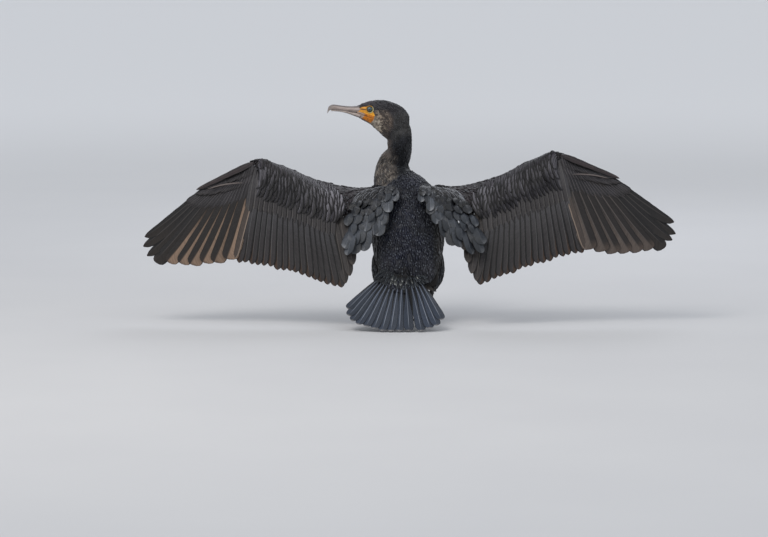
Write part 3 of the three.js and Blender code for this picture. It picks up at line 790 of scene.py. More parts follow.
class VaneMaker:
    """Builds large feathers as thin closed vanes with a shaft, a camber and slightly ragged edges."""

    TOP = np.array([-1, -0.86, -0.5, -0.1, 0, 0.1, 0.5, 0.86, 1])
    BOTTOM = np.array([1, 0.5, 0, -0.5, -1])
    HALF_THICK = 0.22
    SHAFT_RISE, SHAFT_SPREAD = 0.55, 0.12
    RAGGED = 0.018
    TONE_SPREAD = 0.07
    SHARP = math.radians(50)
    CELL_COLUMNS, CELL_ROWS = 24, 12

    def __init__(self, name: str, seed: int, place: Callable[[Array], Array] | None = None) -> None:
        """Starts a batch.

        Args:
            name: Name of the object to be.
            seed: Picks the small differences between feathers.
            place: Carries the left side's points to where the batch belongs.
        """
        self.maker = MeshMaker(name)
        self.rng = np.random.default_rng(seed)
        self.place = place or (lambda p: p)
        self.count = 0
        self.ring = len(self.TOP) + len(self.BOTTOM)

    def add(self, feather: Feather, stations: int = 15) -> None:
        """Adds one feather.

        Args:
            feather: What to build.
            stations: How many cross-sections it has.
        """
        share = 1 - (1 - np.linspace(0, 1, stations)) ** 1.5
        up = unit(feather.up)
        side = unit(np.cross(feather.tip - feather.root, up))
        middle = (feather.root + feather.tip) / 2 + up * feather.bow * 2 + side * feather.sweep * 2
        t = share[:, None]
        line = (1 - t) ** 2 * feather.root + 2 * t * (1 - t) * middle + t**2 * feather.tip
        along = unit(2 * (1 - t) * (middle - feather.root) + 2 * t * (feather.tip - middle))
        across = unit(np.cross(along, up))
        lifted = np.cross(across, along)
        turn = np.radians(feather.lean) * np.minimum(1, share * 2.5)[:, None]
        across = across * np.cos(turn) + lifted * np.sin(turn)
        face = np.cross(across, along)
        ragged = 1 + self.rng.normal(0, self.RAGGED, stations)
        half = feather.width / 2 * feather.profile(share) * ragged
        left, right = 2 * feather.shaft_at, 2 * (1 - feather.shaft_at)
        v = np.concatenate([self.TOP, self.BOTTOM])
        reach = np.where(v < 0, v * left, v * right)
        on_top = np.arange(self.ring) < len(self.TOP)
        dome = feather.camber * feather.width * (1 - v**2)
        ridge = self.SHAFT_RISE * np.exp(-((v / self.SHAFT_SPREAD) ** 2))
        thin = np.where(on_top, self.HALF_THICK + ridge, -self.HALF_THICK - 0.3 * ridge)
        rise = dome[None, :] * np.sin(np.pi * np.clip(share + 0.15, 0, 1))[:, None] + thin[None, :]
        rise[-1] *= 0.6
        points = (line[:, None, :] + across[:, None, :] * (half[:, None] * reach[None, :])[..., None]
                  + face[:, None, :] * rise[..., None])
        points = self.place(points.reshape(-1, 3))
        length = float(np.linalg.norm(feather.tip - feather.root))
        quads, triangles = ring_faces(stations, self.ring)
        where = np.repeat(share, self.ring)
        cross = np.tile(v, stations)
        tone = feather.shade * (1 + self.rng.normal(0, self.TONE_SPREAD))
        barb = where * length - np.abs(cross) * np.repeat(half, self.ring) * 0.9
        vane = np.stack([where, cross, np.full(len(where), self.rng.uniform())], axis=1)
        uv = self.cell(where, cross)
        ink = feather.ink.value
        paints = {
            name: with_alpha(np.tile(linear_rgb(colour) * tone, (len(where), 1)))
            for name, colour in (("rim", ink.rim), ("shaft", ink.shaft), ("tipped", ink.tip))
        }
        webbed = ramp(feather.web_from, feather.web_from + 0.45, where)[:, None]
        tipped = ramp(feather.tip_from, 1.0, where)[:, None]
        centre = linear_rgb(ink.centre) * (1 - tipped) + linear_rgb(ink.tip) * tipped
        web = centre * (1 - webbed) + linear_rgb(ink.web) * webbed
        paints["tint"] = with_alpha(centre * tone)
        paints["web"] = with_alpha(web * tone)
        # The margin's width; towards the root it widens as painted shade where an ink asks for it.
        edge = ink.rim_width + ink.root_gap_shade * (1 - ramp(0.2, 0.75, where))
        self.maker.add(points, quads, triangles, uv, vane=vane, barb=barb, edge=edge, **paints)
        self.count += 1

    def cell(self, where: Array, cross: Array) -> Array:
        """Lays a feather into its own strip of the unwrap.

        Args:
            where: Share along the feather.
            cross: Share across it.

        Returns:
            UV pairs.
        """
        column, row = self.count % self.CELL_COLUMNS, self.count // self.CELL_COLUMNS
        return np.stack([(column + 0.5 + cross * 0.42) / self.CELL_COLUMNS,
                         (row + 0.04 + where * 0.92) / self.CELL_ROWS], axis=1)

    def build(self) -> Piece:
        """Makes the object.

        Returns:
            The new object.
        """
        made = self.maker.build()
        made.data.set_sharp_from_angle(angle=self.SHARP)
        LOG.info("%s: %d feathers, %d faces", made.name, self.count, len(made.data.polygons))
        return made


def signed_volume(obj: Piece) -> float:
    """Measures a closed mesh.

    Args:
        obj: The mesh object.

    Returns:
        Its volume, below zero where the faces look inwards.
    """
    work = bmesh.new()
    work.from_mesh(obj.data)
    volume = work.calc_volume(signed=True)
    work.free()
    return volume


@dataclass(frozen=True)
class BraidRow:
    """One row of curled coverts; its pairs run from the outermost feather to the innermost."""

    count: int
    chord: float
    rise: float
    reach: tuple[float, float]
    lift: float
    width: float
    ink: Inks
    span: tuple[float, float]
    curl: float


@dataclass
class WingFeathers:
    """Lays out the large feathers of one wing."""

    side: Side
    lap: float = -9.0
    primary_angle: Table = Table((0, 17.6), (0.22, 28.5), (0.56, 42.4), (0.67, 46), (1, 56.6))
    primary_reach: Table = Table((17.6, 216), (30, 249), (43, 292), (47, 309), (53, 307), (56.6, 291))
    tip_line: Spline = Spline([vec(-362, -22, 133), vec(-142, -60, 82)])
    scapular_tips: Spline = Spline([vec(-27, 14, 258), vec(-42, -4, 231), vec(-58, -22, 196),
                                    vec(-80, -42, 170), vec(-98, -50, 158), vec(-120, -55, 150),
                                    vec(-140, -58, 144)])

    def __post_init__(self) -> None:
        """Prepares what differs from one wing to the other."""
        left = self.side is Side.LEFT
        # The scapulars' factor is painted light: brighter on the left, darker on the right, as the light
        # falls on each side.
        self.braid_pale, self.scapular_painted_light = (1.2, 1.08) if left else (0.4, 0.88)
        self.rng = np.random.default_rng(40 + self.side)
        self.place = Layout.placer(self.side)

    def jitter(self, amount: float) -> float:
        """Draws a number within plus or minus the amount."""
        return float(self.rng.uniform(-amount, amount))

    def primary(self, t: float) -> tuple[Array, Array]:
        """Gives one primary's ends.

        Args:
            t: 0 for the innermost, 1 for the outermost.

        Returns:
            Root and tip.
        """
        angle = self.primary_angle(t)
        reach = self.primary_reach(angle)
        sin, cos = math.sin(math.radians(angle)), math.cos(math.radians(angle))
        tip = vec(Layout.WRIST[0] - reach * sin, -22 + 38 * t, Layout.WRIST[2] - reach * cos)
        return Layout.WRIST + (Layout.FINGER - Layout.WRIST) * (0.07 + 0.86 * t), tip

    def secondary(self, t: float) -> tuple[Array, Array]:
        """Gives one secondary's ends.

        Args:
            t: 0 for the outermost, 1 for the innermost.

        Returns:
            Root and tip.
        """
        outer, inner = self.tip_line.points
        tip = outer + (inner - outer) * t + vec(0, 0, 6 * math.sin(math.pi * t))
        return Layout.arm_point(0.71 - 0.41 * t, 0.78, 0), tip

    def remiges(self) -> Piece:
        """Builds the primaries, secondaries and tertials.

        Returns:
            One object.
        """
        batch = VaneMaker(f"remiges_{self.side.word}", 60 + self.side, self.place)
        inner = Inks.PRIMARY_INNER if self.side < 0 else Inks.PRIMARY_DULL
        for i in range(10):
            t = i / 9
            root, tip = self.primary(t)
            tip = tip + vec(self.jitter(1.5), 0, self.jitter(2.5))
            outer = i > 5
            ink = Inks.PRIMARY_OUTER if outer else inner
            profile = TAPER_TIP if i > 6 else BLUNT_TIP
            pale = 0.14 + 0.2 * (self.side > 0) + 0.035 * i
            batch.add(Feather(root, tip, vec(0.1, -0.97, 0.2), 38 - 10 * t, ink, bow=3, sweep=-2 - 3 * t,
                              lean=self.lap, shaft_at=0.64 + 0.06 * t, profile=profile, web_from=pale,
                              tip_from=0.9), 22)
        batch.add(Feather(Layout.arm_point(0.715, 0.78, 0), vec(-375, -22, 140), Layout.WING_UP, 19,
                          Inks.PRIMARY_LAST, bow=4, sweep=1, lean=self.lap - 2, shaft_at=0.6,
                          profile=SCALLOP_TIP, web_from=0.1, tip_from=0.9), 20)
        for i in range(17):
            t = i / 16
            root, tip = self.secondary(t)
            tip = tip + vec(self.jitter(1.5), 0, self.jitter(3))
            batch.add(Feather(root, tip, Layout.WING_UP, 20.5 + self.jitter(1), Inks.SECONDARY, bow=5,
                              sweep=2, lean=self.lap - 3, shaft_at=0.56, profile=SCALLOP_TIP, tip_from=0.62,
                              shade=1 + 0.1 * math.sin(5 * t)), 20)
        spots = [(0.275, vec(-133, -60, 92)), (0.25, vec(-124, -60, 108)), (0.225, vec(-118, -57, 131)),
                 (0.2, vec(-112, -53, 158))]
        for span, tip in spots:
            batch.add(Feather(Layout.arm_point(span, 0.78, 0), tip, Layout.WING_UP, 22 + self.jitter(1),
                              Inks.TERTIAL, bow=5, lean=self.lap, profile=BROAD_TIP), 16)
        return batch.build()

    def coverts(self) -> Piece:
        """Builds the rows that lie over the roots of the flight feathers, above and below.

        Returns:
            One object.
        """
        batch = VaneMaker(f"coverts_{self.side.word}", 70 + self.side, self.place)
        up = Layout.WING_UP

        def on(under: tuple[Array, Array], reach: float, lift: float) -> Array:
            """Finds a tip that rests on a feather, reach of the way along it and lift above it."""
            return under[0] + (under[1] - under[0]) * (reach + self.jitter(0.012)) + up * lift

        for i in range(11):
            under = self.primary(i / 10)
            root = Layout.arm_point(0.735 + 0.0235 * i, 0.62, -0.7)
            batch.add(Feather(root, on(under, 0.36, -5), -up, 15, Inks.UNDER, bow=1.5, lean=-self.lap,
                              profile=BROAD_TIP), 10)
        for i in range(19):
            t = i / 18
            under = self.primary(t)
            root = Layout.arm_point(0.73 + 0.24 * t, 0.6, 0.8)
            batch.add(Feather(root, on(under, 0.43 - 0.07 * t, 4), up, 10.5, Inks.PRIMARY_COVERT, bow=2.4,
                              lean=self.lap, sweep=-1, profile=TAPER_TIP, shade=1.05 + self.jitter(0.2)), 12)
        for i in range(18):
            t = i / 17
            under = self.secondary(t)
            span = 0.715 - 0.44 * t
            batch.add(Feather(Layout.arm_point(span, 0.66, -0.7), on(under, 0.38, -6), -up, 19, Inks.UNDER,
                              bow=2, lean=-self.lap, profile=BROAD_TIP), 10)
            batch.add(Feather(Layout.arm_point(span, 0.66, 0.75), on(under, 0.5 - 0.08 * t, 5), up,
                              17 + self.jitter(0.8), Inks.GREATER, bow=3.5, lean=self.lap - 2, sweep=1,
                              profile=BROAD_TIP, tip_from=0.7), 13)
        self.braids(batch)
        for i, (reach, drop) in enumerate([(56, 0), (78, 1), (101, 2), (121, 4)]):
            root = Layout.arm_point(0.72 + 0.012 * i, 0.3, 0.9)
            way = unit(Layout.FINGER - Layout.WRIST)
            tip = root + way * reach + vec(0, -6 - i * 0.4, drop)
            batch.add(Feather(root, tip, unit(vec(-0.1, -0.9, 0.4)), 14 - i, Inks.ALULA, bow=2.5, lean=-6,
                              profile=TAPER_TIP, tip_from=0.75), 11)
        batch.add(Feather(vec(-354, 12, 300), vec(-430, 26, 285), up, 3.2, Inks.PALE_EDGE, bow=2, sweep=3,
                          lean=self.lap, profile=TAPER_TIP), 12)
        for row, (reach, chord, lift) in enumerate([(0.25, 0.44, 6.5), (0.15, 0.26, 8)]):
            for i in range(19):
                t = i / 18
                under = self.primary(t)
                root = Layout.arm_point(0.725 + 0.2 * t, chord, 0.85)
                batch.add(Feather(root, on(under, reach - 0.05 * t, lift - 2 * t), up, 7.5,
                                  Inks.PRIMARY_COVERT, bow=2, lean=self.lap - 6, profile=TAPER_TIP,
                                  sweep=-2, shade=1.25 - 0.15 * row + self.jitter(0.25)), 9)
        return batch.build()

    def braids(self, batch: VaneMaker) -> None:
        """Adds the median and lesser coverts: lifted, dark-edged crescents that curl away from the body.

        Args:
            batch: Takes the feathers.
        """
        up = Layout.WING_UP
        rows = [
            BraidRow(23, 0.66, 0.8, (0.31, 0.2), 8.0, 16, Inks.MEDIAN, (0.7, 0.24), 8.0),
            BraidRow(24, 0.5, 0.9, (0.2, 0.12), 10.5, 15, Inks.MEDIAN, (0.7, 0.25), 9.0),
            BraidRow(26, 0.36, 0.95, (0.1, 0.05), 11.0, 13, Inks.MEDIAN, (0.7, 0.27), 9.0),
            BraidRow(30, 0.24, 0.95, (0.01, -0.03), 10.0, 11, Inks.LESSER, (0.695, 0.28), 6.0),
            BraidRow(34, 0.14, 0.85, (-0.07, -0.09), 7.0, 9, Inks.LESSER, (0.69, 0.29), 3.0),
        ]
        for row in rows:
            for i in range(row.count):
                t = i / (row.count - 1)
                span = row.span[0] + (row.span[1] - row.span[0]) * t + self.jitter(0.004)
                root, under_tip = self.secondary(float(np.clip((0.71 - span) / 0.41 + 0.05, 0, 1.06)))
                reach = row.reach[0] + (row.reach[1] - row.reach[0]) * t + self.jitter(0.015)
                tip = root + (under_tip - root) * reach + up * (row.lift + self.jitter(1.5)) + vec(-6, 0, 0)
                pale = self.braid_pale * ramp(0.62, 0.95, t) * (row.ink is Inks.MEDIAN)
                batch.add(Feather(Layout.arm_point(span, row.chord, row.rise), tip, up,
                                  row.width + self.jitter(1.5), row.ink, bow=3.5, sweep=-row.curl,
                                  lean=self.lap - 18 + self.jitter(6), profile=BROAD_TIP, camber=0.2,
                                  shade=1 + pale + self.jitter(0.25)), 10)

    def scapulars(self) -> Piece:
        """Builds the ruffled tiers that hang from the shoulder over the back.

        Returns:
            One object.
        """
        batch = VaneMaker(f"scapulars_{self.side.word}", 80 + self.side, self.place)
        tiers = [
            (8, 1.0, 0.0, 62, 25, 1.05), (8, 0.86, 2.5, 50, 25, 0.9), (8, 0.72, 5.0, 44, 24, 1.1),
            (8, 0.58, 7.0, 40, 23, 0.85), (8, 0.45, 8.5, 36, 21, 1.0), (9, 0.33, 8.5, 30, 17, 0.62),
        ]
        for tier, (count, share, lift, length, width, shade) in enumerate(tiers):
            for i in range(count):
                t = (i + (0.5 if tier % 2 else 0.0)) / (count - 0.5)
                top = vec(-32 - 72 * t, 60 - 8 * t, 288 - 8 * t)
                far = self.scapular_tips.at(t) - Layout.RIGHT * (24 * t * t * (self.side > 0))
                span = float(np.linalg.norm(far - top))
                if tier % 2 and span < 84:
                    continue
                way = unit(far - top)
                reach = span * (share + self.jitter(0.03))
                tip = top + way * reach + Layout.BACK * (lift + 4 + self.jitter(2.5))
                tip = tip + vec(self.jitter(5), 0, 0)
                start = max(reach - length * (0.75 + 0.25 * share), 0)
                root = top + way * start + Layout.BACK * (lift * 0.45)
                dark = share < 0.5 or (share < 0.9 and t < 0.08)
                ink = Inks.SCAPULAR_TOP if dark else Inks.SCAPULAR
                broad = (width + self.jitter(3.5)) * (0.64 + 0.36 * ramp(0, 0.4, t))
                # Each scapular's tone carries its side's painted light and shade.
                batch.add(Feather(root, tip, unit(Layout.BACK + vec(0.12 - 0.3 * t, 0, 0)), broad,
                                  ink, bow=3.5, sweep=self.jitter(4), lean=-14 + self.jitter(17),
                                  profile=SCALE_TIP if share < 0.8 else BROAD_TIP, camber=0.16, tip_from=0.72,
                                  shade=shade * (1 + self.jitter(0.34)) * self.scapular_painted_light), 12)
        return batch.build()

    def mantle(self) -> Piece:
        """Builds the narrow black feathers that arch over the shoulder, each with a pale edge and tip painted
        on as a highlight.

        Returns:
            One object.
        """
        batch = VaneMaker(f"mantle_{self.side.word}", 85 + self.side, self.place)
        crest = Spline([vec(-14, 86, 290), vec(-38, 70, 292), vec(-70, 60, 289), vec(-98, 54, 281),
                        vec(-114, 48, 269)])
        rows = [(13, 42, 34, 7), (14, 40, 22, 7), (15, 36, 11, 4)]
        for row, (count, length, drop, lift) in enumerate(rows):
            for i in range(count):
                t = (i + 0.5 * (row % 2)) / (count - 0.5)
                along = crest.along(t)
                fall = unit(vec(0, -0.62, -0.78))
                root = crest.at(t) + fall * (drop * 0.62) - along * 10 + Layout.BACK * (lift * 0.3)
                way = unit(along * (1.1 - 0.25 * t) + fall * (0.55 + 0.5 * t))
                tip = root + way * (length * (1 + self.jitter(0.15))) + Layout.BACK * lift
                batch.add(Feather(root, tip, Layout.BACK, 7.5 + self.jitter(1.2), Inks.MANTLE, bow=3.5,
                                  sweep=3, lean=6 + self.jitter(5), profile=TAPER_TIP, camber=0.16,
                                  shade=1 + self.jitter(0.35)), 11)
        return batch.build()


@dataclass
class TailFeathers:
    """Lays out the tail's fan and the coverts over its root."""

    rectrices: tuple[tuple[float, float], ...] = (
        (-44, 163), (-39.5, 179), (-34.5, 187), (-29.3, 190), (-24, 188), (-18.5, 188), (-13, 190),
        (-7.5, 188), (-2, 186.5), (4.4, 186.5), (12.3, 190), (18.3, 187), (23.5, 184), (28.8, 172),
    )
    top: int = 8
    spread: float = 0.62

    def ray(self, angle: float, reach: float, rise: float) -> Array:
        """Reads a point of the fan as Layout.tail_ray does, with the roots side by side."""
        spread = (angle + 4) * self.spread * max(0.0, 1 - max(reach - 24, 0) / 150)
        return Layout.tail_ray(angle, reach, rise) + Layout.RIGHT * spread

    def build(self) -> list[Piece]:
        """Builds the fan and its coverts.

        Returns:
            Two objects.
        """
        rng = np.random.default_rng(90)
        fan = VaneMaker("rectrices", 91)
        for i, (angle, reach) in enumerate(self.rectrices):
            outward = i - self.top
            rise = 3.4 - abs(outward) * 0.3
            root, tip = self.ray(angle, 24, rise * 0.5), self.ray(angle, reach, rise)
            tip[2] = max(tip[2], 1.1)
            lean = 0.0 if outward == 0 else math.copysign(5.5, outward)
            edge = 1 - 0.22 * (i < 3) - 0.1 * (i > 12)
            fan.add(Feather(root, tip, Layout.TAIL_UP, 22.5 - 1.5 * (i < 4), Inks.TAIL, bow=1.5, lean=lean,
                            profile=FAN_TIP, shade=edge * (1 + rng.uniform(-0.12, 0.12)), tip_from=0.985), 22)
        coverts = VaneMaker("tail_coverts", 92)
        rows = [(27, 62, 5, 5.5), (26, 53, 8, 5.5), (25, 44, 11, 5.5), (23, 35, 13, 6), (19, 26, 14.5, 6)]
        for tier, (count, reach, lift, width) in enumerate(rows):
            for i in range(count):
                angle = -48 + 88 * i / (count - 1) + rng.uniform(-2, 2)
                far = reach * (1 - 0.0035 * abs(angle + 4)) + rng.uniform(-3, 3)
                root = self.ray(angle, max(far - 30, 2), lift * 0.5)
                tip = self.ray(angle, far, lift - tier * 0.5 + rng.uniform(-0.5, 1.0))
                ink = Inks.TAIL_COVERT
                if tier in (1, 2) and -20 < angle < 26 and rng.uniform() < 0.6:
                    ink = Inks.SPOT
                # The innermost middle coverts take the near-black ink, painted shade in the notch at the
                # tail's root.
                elif tier > 2 and -17 < angle < 20:
                    ink = Inks.TAIL_BLACK
                coverts.add(Feather(root, tip, Layout.TAIL_UP, width, ink, bow=2.5,
                                    lean=math.copysign(8, angle + 4), profile=BROAD_TIP, camber=0.14,
                                    shade=0.9 + rng.uniform(-0.25, 0.35), sweep=rng.uniform(-2, 2),
                                    tip_from=0.8), 8)
                if tier < 3 and i % 2 == 0:
                    root = self.ray(angle, 6, -lift * 0.5)
                    tip = self.ray(angle, reach * 1.2, 2 - lift)
                    coverts.add(Feather(root, tip, -Layout.TAIL_UP, width + 7, Inks.UNDER, bow=5,
                                        lean=math.copysign(6, angle + 4), profile=BROAD_TIP, camber=0.12), 8)
        for side in Side:
            for i in range(9):
                across = side * (30 + 4 * i)
                root = vec(across, -6 + rng.uniform(-2, 2), 122 - 0.8 * i)
                tip = vec(across - side * (2 + 0.5 * i), -37 + 1.6 * i, 72 + 1.4 * i + rng.uniform(-3, 3))
                coverts.add(Feather(root, tip, vec(side * 0.3, -0.9, 0.3), 9.5, Inks.FLANK, bow=3,
                                    lean=side * 6.0, profile=BROAD_TIP, camber=0.14,
                                    shade=1 + rng.uniform(-0.25, 0.3)), 9)
        return [fan.build(), coverts.build()]


class Forms:
    """Gathers closed forms in one bmesh and makes one piece of them."""

    def __init__(self) -> None:
        """Starts empty."""
        self.work = bmesh.new()

    def loft(self, rings: Sequence[Array]) -> None:
        """Adds a closed form through rings.

        Args:
            rings: Stacks of points, all of one length.
        """
        rows = [[self.work.verts.new(Vector(Layout.to_row(p))) for p in ring] for ring in rings]
        for a, b in zip(rows, rows[1:]):
            for k in range(len(a)):
                n = (k + 1) % len(a)
                self.work.faces.new((a[k], b[k], b[n], a[n]))
        self.work.faces.new(list(reversed(rows[0])))
        self.work.faces.new(rows[-1])

    @staticmethod
    def oval(centre: Array, across: Array, up: Array, sides: int = 40) -> Array:
        """Makes a ring of points round a centre from its two half axes."""
        angle = np.linspace(0, 2 * math.pi, sides, endpoint=False)[:, None]
        return centre + across * np.cos(angle) + up * np.sin(angle)

    def tube(self, line: Spline, half: Callable[[float], tuple[float, float]], side: Array,
             steps: int) -> None:
        """Adds a tube.

        Args:
            line: Its middle.
            half: Gives half width and half height at a share of its length.
            side: The way its width lies.
            steps: How many rings less one.
        """
        rings = []
        for i in range(steps + 1):
            t = i / steps
            along = line.along(t)
            across = unit(side - along * (side @ along))
            wide, high = half(t)
            rings.append(self.oval(line.at(t), across * wide, np.cross(along, across) * high))
        self.loft(rings)

    def shells(self, name: str) -> Piece:
        """Makes one object of the forms as they are, with their faces outwards."""
        bmesh.ops.recalc_face_normals(self.work, faces=self.work.faces)
        return piece_of(self.work, name)

    def fused(self, name: str, voxel: float, factor: float, rounds: int) -> Piece:
        """Fuses the forms into one smooth piece.

        Args:
            name: Its name.
            voxel: Size of the remesh, in metres.
            factor: How strongly each round of smoothing pulls.
            rounds: How many rounds.

        Returns:
            The object, with its modifiers applied.
        """
        made = self.shells(name)
        remesh = made.modifiers.new("Fuse", "REMESH")
        remesh.mode = "VOXEL"
        remesh.voxel_size = voxel
        remesh.use_smooth_shade = True
        soften = made.modifiers.new("Soften", "SMOOTH")
        soften.factor = factor
        soften.iterations = rounds
        graph = bpy.context.evaluated_depsgraph_get()
        done = bpy.data.meshes.new_from_object(made.evaluated_get(graph))
        made.modifiers.clear()
        old = made.data
        made.data = done
        bpy.data.meshes.remove(old)
        done.name = name
        return made


@dataclass
class BodySkin(Forms):
    """Builds the one skin of trunk, neck, head, thighs, arms and tail root, as deep as the coat is thick."""

    anatomy: Anatomy
    trunk_coat: float = 2.4
    neck_coat: float = 1.8
    arm_coat: float = 1.8
    head_coat: float = 0.9
    voxel: float = 0.00252

    def __post_init__(self) -> None:
        """Starts the forms."""
        super().__init__()

    def trunk(self) -> None:
        """Adds the trunk."""
        rings = []
        for t in np.linspace(-0.155, 1.015, 40):
            centre = (Layout.TRUNK_TAIL + Layout.SPINE * t * Layout.TRUNK_LENGTH
                      - Layout.BACK * Layout.TRUNK_BELLY(t))
            rings.append(self.oval(centre, Layout.RIGHT * (Layout.TRUNK_WIDTH(t) - self.trunk_coat),
                                   Layout.BACK * (Layout.TRUNK_DEPTH(t) - self.trunk_coat), 56))
        self.loft(rings)

    def neck_and_head(self) -> None:
        """Adds the neck's tube and the head's oval sections."""
        coat = self.neck_coat
        self.tube(Layout.NECK_LINE, lambda t: (Layout.NECK_WIDTH(t) - coat, Layout.NECK_DEPTH(t) - coat),
                  vec(1, 0.2, 0), 40)
        rings = []
        for x in np.linspace(-111.5, 2.5, 60):
            high, low = Layout.CROWN(x) - self.head_coat, Layout.CHIN(x) + self.head_coat
            rings.append(self.oval(vec(x, Layout.HEAD_MIDDLE, (high + low) / 2),
                                   vec(0, Layout.CHEEK(x) - 0.8, 0), vec(0, 0, (high - low) / 2), 48))
        self.loft(rings)

    def thigh(self, side: Side) -> None:
        """Adds one thigh.

        Args:
            side: Which side's.
        """
        half = Table((0, 34), (0.3, 31), (0.6, 24), (0.85, 13), (1, 7.5))
        leg = Spline([p * side.mirror for p in (Layout.HIP, Layout.KNEE, Layout.HEEL + vec(0, 2, 8))])
        coat = self.trunk_coat * 0.8
        self.tube(leg, lambda t: (half(t) * 0.7 - coat, half(t) - coat), Layout.RIGHT, 16)

    def arm(self, side: Side) -> None:
        """Adds one arm and the pad of muscle over its shoulder.

        Args:
            side: Which side's.
        """
        place = Layout.placer(side)
        rings = []
        for t in np.linspace(0, 0.985, 60):
            front, rear = Layout.ARM_FRONT.at(t), Layout.ARM_REAR.at(t)
            chord = (front - rear) / 2
            thick = max(Layout.ARM_THICKNESS(t) / 2 - self.arm_coat, 1.4)
            up = unit(np.cross(Layout.ARM_FRONT.along(t), chord)) * thick
            chord = chord * (1 - self.arm_coat / np.linalg.norm(chord))
            rings.append(place(self.oval((front + rear) / 2, chord, up, 28)))
        self.loft(rings)
        pad = Spline(place([vec(-36, 70, 268), vec(-70, 64, 273), vec(-104, 56, 266)]))
        swell = Table((0, 7), (0.3, 16), (0.6, 15), (1, 6))
        self.tube(pad, lambda t: (swell(t), swell(t)), vec(0, 0.5, 1), 12)

    def tail_root(self) -> None:
        """Adds the flesh that the tail's feathers grow from."""
        root = Spline([Layout.tail_ray(-9, reach, 0) for reach in (0, 36, 70)])
        self.tube(root, lambda t: (38 - 12 * t, 17 - 14 * t), Layout.RIGHT, 8)

    def build(self) -> Piece:
        """Fuses the forms into one smooth skin and paints it.

        Returns:
            The skin.
        """
        self.trunk()
        self.neck_and_head()
        for side in Side:
            self.thigh(side)
            self.arm(side)
        self.tail_root()
        skin = self.fused("skin", self.voxel, 0.6, 7)
        self.refine_head(skin)
        self.paint(skin)
        LOG.info("skin: %d faces", len(skin.data.polygons))
        return skin

    def refine_head(self, skin: Piece) -> None:
        """Splits the head's faces finer and gives the face its folds, socket and gape.

        Args:
            skin: The fused skin.
        """
        work = bmesh.new()
        work.from_mesh(skin.data)
        shift = Layout.BOX_MIDDLE / 1000
        for limit in (-0.03, -0.056):
            faces = []
            for face in work.faces:
                middle = face.calc_center_median()
                if middle.x + shift[0] < limit and middle.z > 0.4 and abs(middle.x) < 0.14:
                    faces.append(face)
            edges = list({e for f in faces for e in f.edges})
            bmesh.ops.subdivide_edges(work, edges=edges, cuts=1, use_grid_fill=True)
        work.normal_update()
        points = Layout.from_row([v.co for v in work.verts])
        chosen = np.nonzero((points[:, 2] > 402) & (points[:, 0] < -36) & (points[:, 0] > -130))[0]
        face = points[chosen]
        move = self.folds(face)
        work.verts.ensure_lookup_table()
        for i, amount in zip(chosen, move):
            vert = work.verts[i]
            vert.co = vert.co + vert.normal * (amount / 1000)
        bmesh.ops.recalc_face_normals(work, faces=work.faces)
        work.to_mesh(skin.data)
        work.free()
        skin.data.shade_smooth()

    def folds(self, face: Array) -> Array:
        """Measures how far the face's skin stands out or in.

        Args:
            face: Points on the head.

        Returns:
            Millimetres outwards, one for each point.
        """
        x, _, z = face.T
        eye = Anatomy.eye_gap(face)
        socket = -2.6 * ramp(7.2, 4.4, eye)
        lids = 1.1 * np.exp(-(((eye - 7.6) / 1.1) ** 2))
        brow = 0.8 * np.exp(-(((z - 459.5) / 2.2) ** 2 + ((x + 84) / 13) ** 2))
        gape = -1.1 * np.exp(-((Anatomy.gape_line(face) / 0.8) ** 2)) * ramp(-74, -80, x)
        bare = self.anatomy.bare(face)
        pouch = inside(face, Anatomy.GULAR, 3)
        ripple = 0.22 * np.sin(x * 1.5 + z * 0.9) * pouch
        return socket + lids + brow + gape - 0.5 * bare + 0.5 * pouch + ripple

    def paint(self, skin: Piece) -> None:
        """Colours the skin from the same rules as its feathers.

        Args:
            skin: The finished skin.
        """
        mesh = skin.data
        points = np.zeros(len(mesh.vertices) * 3)
        mesh.vertices.foreach_get("co", points)
        points = Layout.from_row(points.reshape(-1, 3))
        x, _, z = points.T
        zones = self.anatomy.zones(points)
        paint = Paint(self.anatomy.colours(points, zones) * 0.8)
        lay = paint.lay
        bare = self.anatomy.bare(points) * (zones == Zone.HEAD)
        fine = self.anatomy.fine(points * 1.6)
        lores = inside(points, Anatomy.LORES, 2)
        gular = inside(points, Anatomy.GULAR, 2)
        gape = inside(points, Anatomy.GAPE, 2)
        lay("#c98c1c", bare * lores)
        lay("#e3a41f", bare * lores * ramp(447, 440, z) * 0.9)
        dark = np.exp(-(((z - 450.4 + 0.08 * (x + 96)) / 1.5) ** 2))
        dark = dark * ramp(-84, -90, x) * ramp(-112, -98, x)
        lay("#2b1e12", bare * lores * dark)
        lay("#c97a10", bare * gular)
        lay("#6e4210", bare * gular * ramp(0.3, 0.8, self.anatomy.streak(points)) * 0.55)
        lay("#a9988e", bare * gape * ramp(-88, -98, x))
        eye = Anatomy.eye_gap(points)
        ring = ramp(8.6, 7.9, eye) * ramp(5.6, 6.5, eye) * (zones == Zone.HEAD)
        behind = ramp(-1, 5, x - Layout.EYE[0] - 0.7 * (z - Layout.EYE[2]))
        lay("#a37b2a", ring)
        lay("#aaa87c", ring * behind)
        lay("#0c0c0d", ramp(6.2, 5.0, eye) * (zones == Zone.HEAD))
        shut = np.exp(-((Anatomy.gape_line(points) / 0.9) ** 2)) * ramp(-74, -80, x)
        lay("#4c3014", shut * bare * 0.8)
        tint = paint.rows * (1 + 0.12 * fine * bare)[:, None]
        colour = mesh.attributes.new("tint", "FLOAT_COLOR", "POINT")
        colour.data.foreach_set("color", with_alpha(tint).astype(np.float32).ravel())
        mask = mesh.attributes.new("bare", "FLOAT", "POINT")
        mask.data.foreach_set("value", bare.astype(np.float32))


